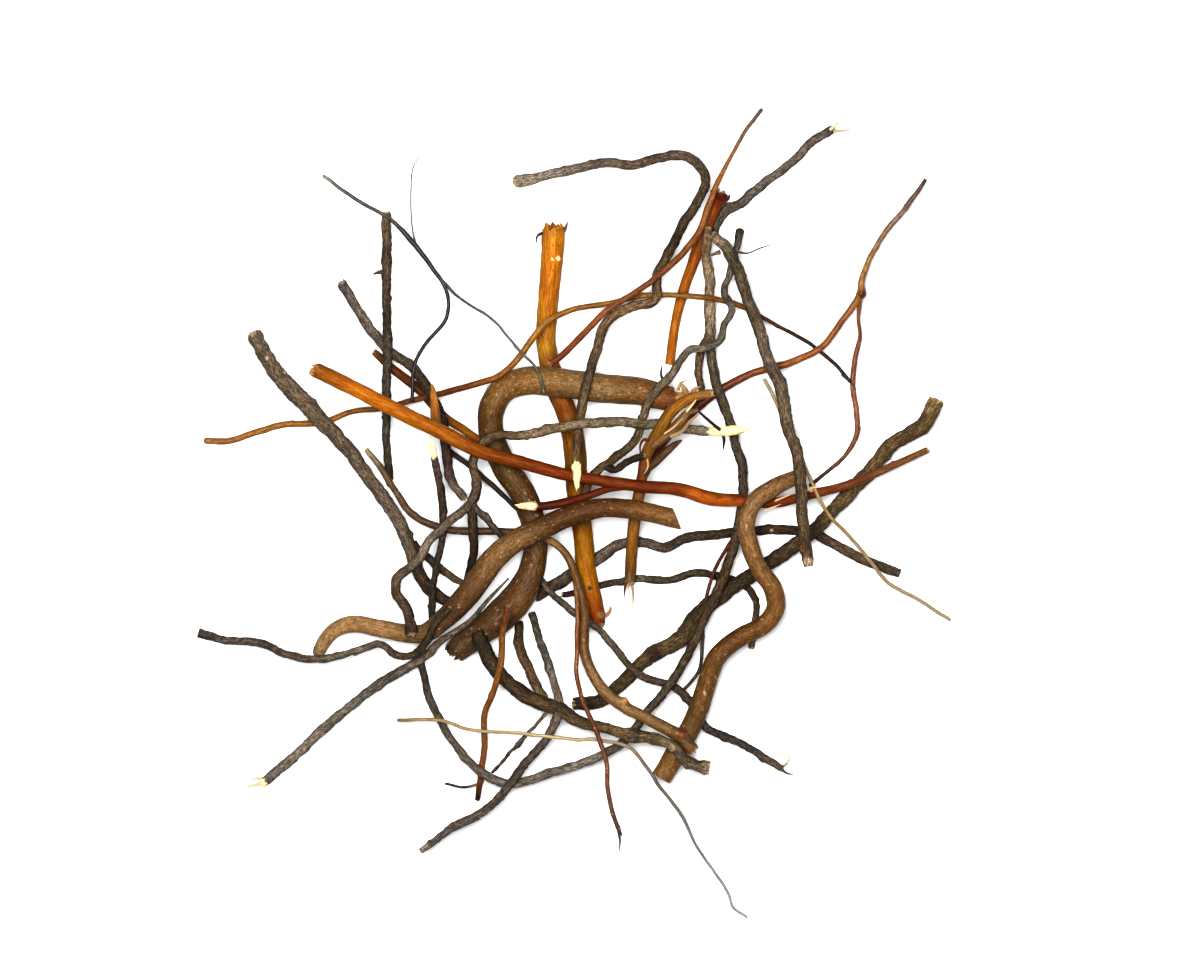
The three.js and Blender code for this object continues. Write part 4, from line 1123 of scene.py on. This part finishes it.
# --- Top grey root ------------------------------------------------------------------------------
# A short wrinkled root out to the upper right, torn pale at its tip.
top_grey = strand(
    "top_grey_root",
    [
        (143, 211, 4.5), (133, 205, 4.5), (123, 195, 4.5), (109, 184, 4.5), (99, 176, 5), (92, 170, 5),
        (84, 166, 5.5), (80, 161, 5.5), (77, 154, 5),
    ],
    WRINKLED_HABIT,
    tones=[(0, "#4c4843"), (0.06, "#534c45"), (0.3, "#695f55"), (0.6, "#565149"), (1, "#56493b")],
)
add_fibres(top_grey, "top_grey_root", [
    ("#6a5a48", 0.4, [(142.2, 209.8, 2.2, 0), (147.7, 209.8, 1.1, 1), (153.2, 210.9, 0.4, 1)]),
    ("#8a7458", 0.6, [(141.6, 210.4, 2.2, 1), (144.4, 213.1, 1.1, 2), (147.1, 214.8, 0.4, 2)]),
])
settle_in(top_grey, "top_grey_root_bark", wrinkled_grey_bark)
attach(top_grey, "root")
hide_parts("top_grey_root")

# --- Long grey root -----------------------------------------------------------------------------
# The longest root: down the right, round the bottom and up the left, with one short fork near its top.
long_grey = strand(
    "long_grey_root",
    [
        (74, 156, 4.5), (73, 144, 5), (75, 127, 5.5), (75, 105, 5.5), (76, 84, 5), (79, 68, 5), (85, 53, 5),
        (89, 38, 5), (93, 23, 5), (93, 6, 5), (89, -16, 5), (82, -38, 5), (73, -57, 4.5), (66, -72, 4.5),
        (54, -94, 4.5), (41, -110, 4.5), (26, -128, 4.5), (6, -138, 4.5), (-13, -144, 4.5),
        (-36, -150, 4.5), (-51, -143, 4.5), (-64, -130, 4), (-75, -112, 4), (-81, -97, 4), (-84, -83, 3.5),
    ],
    WRINKLED_HABIT,
    tones=[
        (0, "#745d41"), (0.04, "#837259"), (0.1, "#807160"), (0.15, "#544b3c"), (0.3, "#453b2f"),
        (0.45, "#4d3d28"), (0.6, "#484033"), (0.75, "#746c64"), (1, "#42392e"),
    ],
)
long_grey_fork = strand(
    "long_grey_root",
    [(75, 97, 4), (70, 88, 4), (69, 76, 4), (71, 66, 3.5)],
    WRINKLED_HABIT,
    tones=[(0, "#6b5a42"), (1, "#4b3b2a")],
    ends=(BURIED_END, SNAPPED_END),
    flare=0.3,
)
union(long_grey, long_grey_fork)
settle_in(long_grey, "long_grey_root_bark", wrinkled_grey_bark)
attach(long_grey, "root")
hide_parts("long_grey_root")

# --- Wiggly grey root ---------------------------------------------------------------------------
# A crooked root with a knobbed head, and a small curl near its lower end.
wiggly_grey = strand(
    "wiggly_grey_root",
    [
        (92, 156, 4), (90, 147, 3.5), (86, 131, 3.5), (83, 121, 3.5), (87, 111, 3.5), (83, 103, 3.5),
        (81, 94, 3.5), (72, 90, 4), (64, 89, 4), (59, 83, 4), (52, 73, 4.5), (42, 62, 4.5), (38, 50, 4.5),
        (33, 38, 4.5), (21, 28, 4.5), (11, 20, 4.5), (4, 6, 4), (-1, 0, 4),
    ],
    WRINKLED_HABIT,
    tones=[
        (0, "#44423c"), (0.1, "#534c42"), (0.4, "#6c6457"), (0.7, "#68573e"), (0.85, "#503f29"),
        (1, "#5e4430"),
    ],
    ends=(ROUND_TIP, SNAPPED_END),
    marks=[
        (92.1, 154.8, 4, 0.5, "#38322c"), (56.4, 87.2, 2.5, 0.8, "#b0a890"), (85, 116.3, 3, 0.9, "#3e362e"),
    ],
)
wiggly_grey_curl = strand(
    "wiggly_grey_root",
    [(17, 25, 3.5), (23, 23, 3.5), (30, 27, 3.5), (39, 31, 3.5)],
    WRINKLED_HABIT,
    tones=[(0, "#3c342c"), (1, "#34291f")],
    ends=(BURIED_END, SNAPPED_END),
)
union(wiggly_grey, wiggly_grey_curl)
add_fibres(wiggly_grey, "wiggly_grey_root", [
    ("#4a4038", 0, [
        (90.5, 142.7, 1.4, 0), (96, 142.2, 0.9, 0), (102.6, 144.9, 0.8, 0), (109.7, 147.1, 0.4, 0),
    ]),
    ("#4a4038", 0, [(49.8, 71.2, 1.7, 0), (48.1, 75.6, 1.4, 1), (48.7, 80, 0.8, 1)]),
])
settle_in(wiggly_grey, "wiggly_grey_root_bark", wrinkled_grey_bark)
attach(wiggly_grey, "root")
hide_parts("wiggly_grey_root")

# --- Peeled grey root ---------------------------------------------------------------------------
# A crooked root, peeled to cream wood at its right end, that turns down at the left, breaks into three
# and ends in a dark knob.
peeled_grey = strand(
    "peeled_grey_root",
    [
        (94, 45, 5), (79, 44, 5), (64, 45, 4.5), (42, 48, 5), (26, 49, 5), (4, 48, 5), (-13, 45, 5),
        (-29, 42, 4.5), (-45, 41, 4.5), (-53, 34, 4.5), (-55, 26, 4.5), (-53, 16, 5), (-56, 5, 5),
        (-68, -5, 4.5), (-79, -16, 4.5), (-86, -28, 4.5), (-97, -37, 5), (-97, -45, 5), (-91, -55, 5),
        (-89, -67, 6),
    ],
    WRINKLED_HABIT,
    tones=[
        (0, "#a4a4a2"), (0.09, "#6e6254"), (0.3, "#776a55"), (0.42, "#776652"), (0.5, "#5c4a34"),
        (0.65, "#524637"), (0.8, "#786d5f"), (0.88, "#554536"), (1, "#3b2d1e"),
    ],
    ends=(TORN_END, SNAPPED_END),
    peeled=[(0, 0.075)],
    marks=[(-87.7, -69, 5, 1.4, "#2a2018"), (47.6, 48.1, 4, 0.8, "#4a4238")],
)
peeled_grey_second = strand(
    "peeled_grey_root",
    [(-56, 5, 5), (-55, -10, 5), (-55, -22, 4.5), (-60, -43, 4)],
    WRINKLED_HABIT,
    tones=[(0, "#4c4033"), (0.4, "#3b2d1e"), (1, "#1e1e1e")],
    ends=(BURIED_END, SNAPPED_END),
)
peeled_grey_third = strand(
    "peeled_grey_root",
    [(-55, 3, 4), (-48, -4, 3.5), (-42, -11, 3.5), (-36, -17, 3)],
    WRINKLED_HABIT,
    tones=[(0, "#5a5044"), (1, "#4a4036")],
    ends=(BURIED_END, SNAPPED_END),
)
union(peeled_grey, peeled_grey_second, peeled_grey_third)
add_fibres(peeled_grey, "peeled_grey_root", [
    ("#241e1a", 0, [(80.6, 44.8, 1.9, 1), (74, 50.3, 1.7, 2), (67.9, 55.8, 1.1, 2)]),
    ("#241e1a", 0, [(81.7, 44.3, 1.9, 0), (82.8, 39.3, 1.7, -1), (82.2, 33.8, 0.6, -2)]),
])
settle_in(peeled_grey, "peeled_grey_root_bark", wrinkled_grey_bark)
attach(peeled_grey, "root")
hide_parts("peeled_grey_root")

# --- Slanting grey root -------------------------------------------------------------------------
# A knotty root at the upper left, snapped off at both ends.
slanting_grey = strand(
    "slanting_grey_root",
    [
        (-128, 126, 5), (-121, 115, 5), (-113, 102, 5), (-102, 89, 5), (-89, 80, 5), (-81, 68, 5.5),
        (-73, 53, 5), (-70, 34, 5), (-67, 17, 5), (-60, 7, 4.5),
    ],
    WRINKLED_HABIT,
    tones=[
        (0, "#464040"), (0.1, "#71675e"), (0.35, "#554c40"), (0.5, "#413724"), (0.7, "#3b2b1e"),
        (0.85, "#3b2c22"), (0.95, "#65594d"), (1, "#4f4337"),
    ],
)
settle_in(slanting_grey, "slanting_grey_root_bark", wrinkled_grey_bark)
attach(slanting_grey, "root")
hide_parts("slanting_grey_root")

# --- Straight grey root -------------------------------------------------------------------------
# A nearly straight root down the upper left, torn off at the top, with one stub of a rootlet.
straight_grey = strand(
    "straight_grey_root",
    [
        (-103, 164, 5), (-103, 138, 5), (-103, 111, 4.5), (-102, 89, 5), (-103, 61, 4.5), (-103, 37, 4),
        (-101, 18, 4),
    ],
    WRINKLED_HABIT,
    tones=[(0, "#5c4c3b"), (0.15, "#544837"), (0.4, "#3f3429"), (0.8, "#4a4337"), (1, "#3b2e1e")],
)
add_fibres(straight_grey, "straight_grey_root", [
    ("#4a4038", 0, [(-104.2, 131.7, 2.8, 0), (-107, 131.7, 2.2, 1), (-110.3, 130.6, 0.8, 1)]),
])
settle_in(straight_grey, "straight_grey_root_bark", wrinkled_grey_bark)
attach(straight_grey, "root")
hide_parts("straight_grey_root")

# --- Short grey root ----------------------------------------------------------------------------
# A short straight root just to its right, peeled cream at the top.
short_grey = strand(
    "short_grey_root",
    [
        (-78, 39, 3.5), (-75, 23, 4), (-72, 4, 4), (-72, -13, 4), (-76, -32, 3.5), (-78, -49, 3.5),
        (-78, -59, 3.5),
    ],
    WRINKLED_HABIT,
    tones=[(0, "#867661"), (0.1, "#564842"), (0.3, "#392e23"), (0.6, "#3d362d"), (1, "#3a2f21")],
    ends=(TORN_END, SNAPPED_END),
    peeled=[(0, 0.09)],
)
settle_in(short_grey, "short_grey_root_bark", wrinkled_grey_bark)
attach(short_grey, "root")
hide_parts("short_grey_root")

# --- Outer grey root ----------------------------------------------------------------------------
# A wavy dark root, the one that reaches furthest to the left.
outer_grey = strand(
    "outer_grey_root",
    [
        (-207, -67, 4.5), (-192, -71, 4), (-171, -73, 4), (-157, -79, 4), (-139, -81, 4), (-123, -78, 3.5),
        (-106, -73, 4), (-97, -79, 4), (-89, -79, 4), (-81, -72, 4), (-76, -62, 4), (-68, -53, 3.5),
    ],
    WRINKLED_HABIT,
    tones=[
        (0, "#3c3530"), (0.08, "#4e4641"), (0.35, "#4d4136"), (0.6, "#665e53"), (0.8, "#3d311f"),
        (1, "#463a24"),
    ],
    ends=(SAWN_END, SNAPPED_END),
)
settle_in(outer_grey, "outer_grey_root_bark", wrinkled_grey_bark)
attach(outer_grey, "root")
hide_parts("outer_grey_root")

# --- Splintered grey root -----------------------------------------------------------------------
# A straight root out to the lower left, whose tip is crushed to splinters. Its upper end runs on as a
# thin, tapering tail.
splintered_grey = strand(
    "splintered_grey_root",
    [
        (-172, -150, 5), (-156, -137, 5), (-137, -119, 5), (-120, -105, 5), (-104, -93, 5), (-88, -84, 5),
        (-77, -76, 4.5),
    ],
    WRINKLED_HABIT,
    tones=[
        (0, "#5a5555"), (0.08, "#625b53"), (0.3, "#70675a"), (0.6, "#605b52"), (0.9, "#625950"),
        (1, "#675640"),
    ],
    peeled=[(0, 0.02)],
)
add_fibres(splintered_grey, "splintered_grey_root", [
    ("#5c5246", 0, [
        (-78.9, -76.7, 4.4, 0), (-72.3, -70.7, 3.9, 1), (-64.6, -65.7, 3.3, 3), (-56.4, -59.7, 2.8, 6),
        (-47, -48.7, 2.2, 9), (-35.5, -36.6, 1.1, 12),
    ]),
    ("#a08468", 0.5, [(-170.2, -148.8, 2.8, 1), (-174.6, -150.4, 1.7, 1), (-180.1, -151.5, 0.4, 1)]),
    ("#8a7458", 0.5, [(-169.1, -147.7, 2.2, 0), (-173.5, -147.1, 1.4, 0), (-178.5, -147.7, 0.4, 0)]),
])
settle_in(splintered_grey, "splintered_grey_root_bark", wrinkled_grey_bark)
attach(splintered_grey, "root")
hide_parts("splintered_grey_root")

# --- Gnarled grey root --------------------------------------------------------------------------
# The gnarled piece at the bottom of the crown: a thick knobbly root with four others growing out of it.
gnarled_grey = strand(
    "gnarled_grey_root",
    [
        (-53, -67, 7), (-45, -83, 7.5), (-35, -95, 7.5), (-21, -104, 7.5), (-7, -109, 7), (4, -116, 6),
        (17, -119, 5.5), (32, -123, 5.5), (45, -125, 5), (56, -130, 5), (62, -138, 5), (74, -141, 5.5),
    ],
    WRINKLED_HABIT,
    tones=[
        (0, "#3b2f1e"), (0.12, "#3b2f1e"), (0.3, "#473825"), (0.5, "#5a4a34"), (0.65, "#645136"),
        (0.8, "#6c5f47"), (1, "#53483e"),
    ],
    ends=(WORN_END, SNAPPED_END),
    marks=[
        (0.8, -100.9, 6, 2.8, "#342a1e"), (33.3, -122.9, 7, 2.6, "#4c4030"),
        (16.2, -110.3, 6, 2.2, "#50442f"), (44.8, -126.2, 6, 2.2, "#54482f"),
        (64.1, -135.6, 5, 2.2, "#50442f"), (72.9, -140.5, 5.5, 2.4, "#7a6a54"),
        (54.2, -130.1, 3, 1, "#8a7a60"),
    ],
)
gnarled_grey_second = strand(
    "gnarled_grey_root",
    [(-16, -106, 5), (-23, -90, 5), (-29, -77, 5), (-30, -61, 4.5)],
    WRINKLED_HABIT,
    tones=[(0, "#726e48"), (0.3, "#644f3c"), (1, "#3e3220")],
    ends=(BURIED_END, WORN_END),
    flare=0.3,
)
gnarled_grey_third = strand(
    "gnarled_grey_root",
    [(-7, -109, 4.5), (-12, -89, 4), (-18, -73, 4), (-23, -56, 4)],
    WRINKLED_HABIT,
    tones=[(0, "#80705e"), (0.5, "#5c5953"), (1, "#3b3825")],
    ends=(BURIED_END, WORN_END),
    flare=0.3,
)
gnarled_grey_fourth = strand(
    "gnarled_grey_root",
    [
        (-7, -109, 5), (-15, -125, 4.5), (-26, -138, 4.5), (-37, -153, 4.5), (-49, -165, 4.5),
        (-65, -173, 4.5), (-84, -187, 3),
    ],
    WRINKLED_HABIT,
    tones=[(0, "#655a4f"), (0.3, "#4b4239"), (0.7, "#5b534b"), (0.93, "#504946"), (1, "#897e6f")],
    ends=(BURIED_END, SNAPPED_END),
    flare=0.3,
)
gnarled_grey_fifth = strand(
    "gnarled_grey_root",
    [(-12, -107, 2), (-21, -118, 2), (-34, -132, 2), (-45, -144, 1.5)],
    WRINKLED_HABIT,
    tones=[(0, "#6b5f4d"), (1, "#342d29")],
    ends=(BURIED_END, ROUND_TIP),
    flare=0.3,
)
union(gnarled_grey, gnarled_grey_second, gnarled_grey_third, gnarled_grey_fourth, gnarled_grey_fifth)
settle_in(gnarled_grey, "gnarled_grey_root_bark", wrinkled_grey_bark)
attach(gnarled_grey, "root")
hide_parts("gnarled_grey_root")

# --- Frayed grey root ---------------------------------------------------------------------------
# A thin root out to the lower right, frayed to fine fibres at its tip, with one reddish rootlet.
frayed_grey = strand(
    "frayed_grey_root",
    [
        (-22, -33, 3.5), (-12, -45, 3.5), (1, -56, 3.5), (15, -66, 3.5), (24, -77, 3.5), (37, -90, 4),
        (56, -97, 4), (66, -107, 4), (73, -119, 4), (89, -126, 4), (104, -135, 4), (115, -142, 3.5),
    ],
    WRINKLED_HABIT,
    tones=[(0, "#594f48"), (0.3, "#574c3f"), (0.6, "#443a31"), (0.9, "#3f3833"), (1, "#675849")],
)
frayed_grey_rootlet = strand(
    "frayed_grey_root",
    [(60, -99, 2), (69, -88, 2), (71, -71, 2), (72, -54, 2), (76, -37, 2), (82, -24, 2), (88, -15, 2)],
    RUSSET_HABIT,
    tones=[(0, "#3c342e"), (0.5, "#443530"), (0.7, "#5c3326"), (1, "#5a2c1c")],
    ends=(BURIED_END, ROUND_TIP),
)
union(frayed_grey, frayed_grey_rootlet)
add_fibres(frayed_grey, "frayed_grey_root", [
    ("#6a5a48", 0.3, [(113, -141.1, 2.2, 0), (116.9, -139.4, 1.1, 0), (119.6, -135.6, 0.4, 0)]),
    ("#4a4038", 0, [(113.6, -141.6, 1.7, 0), (118, -144.4, 1, 0), (121.3, -144.9, 0.4, 0)]),
])
settle_in(frayed_grey, "frayed_grey_root_bark", wrinkled_grey_bark)
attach(frayed_grey, "root")
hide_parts("frayed_grey_root")

# --- Black rootlets -----------------------------------------------------------------------------
# Two wiry rootlets with smooth, slightly waxy black skin. The long one sends one rootlet across the
# middle and one fine hair upwards.
BLACK_HABIT = {**YELLOW_HABIT, "knots": 2, "knot": 0.25}
# Dried skin of a wiry rootlet: near black, lightly streaked with grey, and slightly waxy.
waxy_black_skin = bark("waxy black rootlet skin", {
    "streak": 0.6, "stretch": 6, "patch": 5, "fleck": 0.6, "flecks": 0.5, "patchy": 0.4,
    "shade": "#b4aca4", "light": (1.8, 1.8, 1.8, 1), "pore": 1.6, "pores": 0.2, "pore_tone": "#7a7268",
    "wood": "#d8c4a4", "wood_dark": "#b0906c", "bump": 0.08, "rough": 0.45, "sheen": 0.3,
})
black = strand(
    "black_rootlet",
    [
        (-138, 185, 2), (-120, 172, 2), (-101, 161, 2), (-90, 150, 3), (-79, 136, 2.5), (-70, 121, 2),
        (-70, 106, 2), (-80, 94, 2), (-87, 82, 2), (-89, 60, 2),
    ],
    BLACK_HABIT,
    tones=[(0, "#78716a"), (0.1, "#46403c"), (0.5, "#251f1b"), (1, "#251d1b")],
    ends=(ROUND_TIP, ROUND_TIP),
)
black_hair = strand(
    "black_rootlet",
    [(-75, 130, 2), (-62, 117, 1.5), (-45, 106, 1.5), (-31, 90, 1.5), (-20, 78, 1.5), (-16, 65, 1.5)],
    BLACK_HABIT,
    tones=[(0, "#251e1b"), (0.5, "#575757"), (1, "#5d5b45")],
    ends=(BURIED_END, ROUND_TIP),
)
union(black, black_hair)
add_fibres(black, "black_rootlet", [
    ("#2c2622", 0, [
        (-85.5, 142.7, 1.4, 0), (-88.3, 153.7, 0.9, 1), (-89.4, 165.8, 0.8, 1), (-89.4, 176.8, 0.8, 1),
        (-88.3, 188.9, 0.7, 1), (-83.9, 196.6, 0.4, 1),
    ]),
])
settle_in(black, "black_rootlet_bark", waxy_black_skin)
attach(black, "root")
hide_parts("black_rootlet")

short_black = strand(
    "short_black_rootlet",
    [(-71, 35, 3), (-57, 25, 3), (-43, 13, 3), (-31, 1, 2)],
    BLACK_HABIT,
    tones=[(0, "#423931"), (1, "#251e1b")],
    ends=(ROUND_TIP, ROUND_TIP),
)
settle_in(short_black, "short_black_rootlet_bark", waxy_black_skin)
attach(short_black, "root")
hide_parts("short_black_rootlet")

# --- Floor, light and camera --------------------------------------------------------------------
# A white sweep, lit from above by one broad soft box and a weak white surround, and seen from straight
# above through a long lens.
FLOOR_SIZE = 14
bpy.ops.object.select_all(action="DESELECT")
bpy.ops.mesh.primitive_plane_add(size=FLOOR_SIZE, location=(0, 0, 0))
floor = bpy.context.active_object
floor.name = "floor"
paper = bpy.data.materials.new("white paper sweep")
paper.use_nodes = True
paper_surface = paper.node_tree.nodes["Principled BSDF"]
paper_surface.inputs["Base Color"].default_value = (0.9, 0.9, 0.9, 1)
paper_surface.inputs["Roughness"].default_value = 0.9
floor.data.materials.append(paper)

BOX_WIDTH, BOX_WATTS, BOX_PLACE, FILL = 0.8, 62, (-0.1, 0.15, 2), 0.25
soft_box = bpy.data.lights.new("soft box", "AREA")
soft_box.shape = "DISK"
soft_box.size = BOX_WIDTH
soft_box.energy = BOX_WATTS
soft_box_stand = bpy.data.objects.new("soft box", soft_box)
soft_box_stand.location = BOX_PLACE
soft_box_stand.rotation_euler = (-soft_box_stand.location).to_track_quat("-Z", "Y").to_euler()
bpy.context.scene.collection.objects.link(soft_box_stand)

world = bpy.data.worlds.new("studio")
bpy.context.scene.world = world
world.use_nodes = True
world.node_tree.nodes["Background"].inputs["Color"].default_value = (1, 1, 1, 1)
world.node_tree.nodes["Background"].inputs["Strength"].default_value = FILL

VIEW_WIDTH, LENS, SENSOR = 0.66, 400, 36
VIEW_X, VIEW_Y, VIEW_LEVEL = 0.0146, 0.0168, 0.022
camera_body = bpy.data.cameras.new("camera")
camera_body.lens = LENS
camera_body.sensor_width = SENSOR
camera_body.clip_end = 50
camera = bpy.data.objects.new("camera", camera_body)
camera.location = (VIEW_X, VIEW_Y, VIEW_LEVEL + VIEW_WIDTH * LENS / SENSOR)
bpy.context.scene.collection.objects.link(camera)
bpy.context.scene.camera = camera
bpy.context.scene.view_settings.view_transform = "Standard"
bpy.context.scene.view_settings.look = "High Contrast"
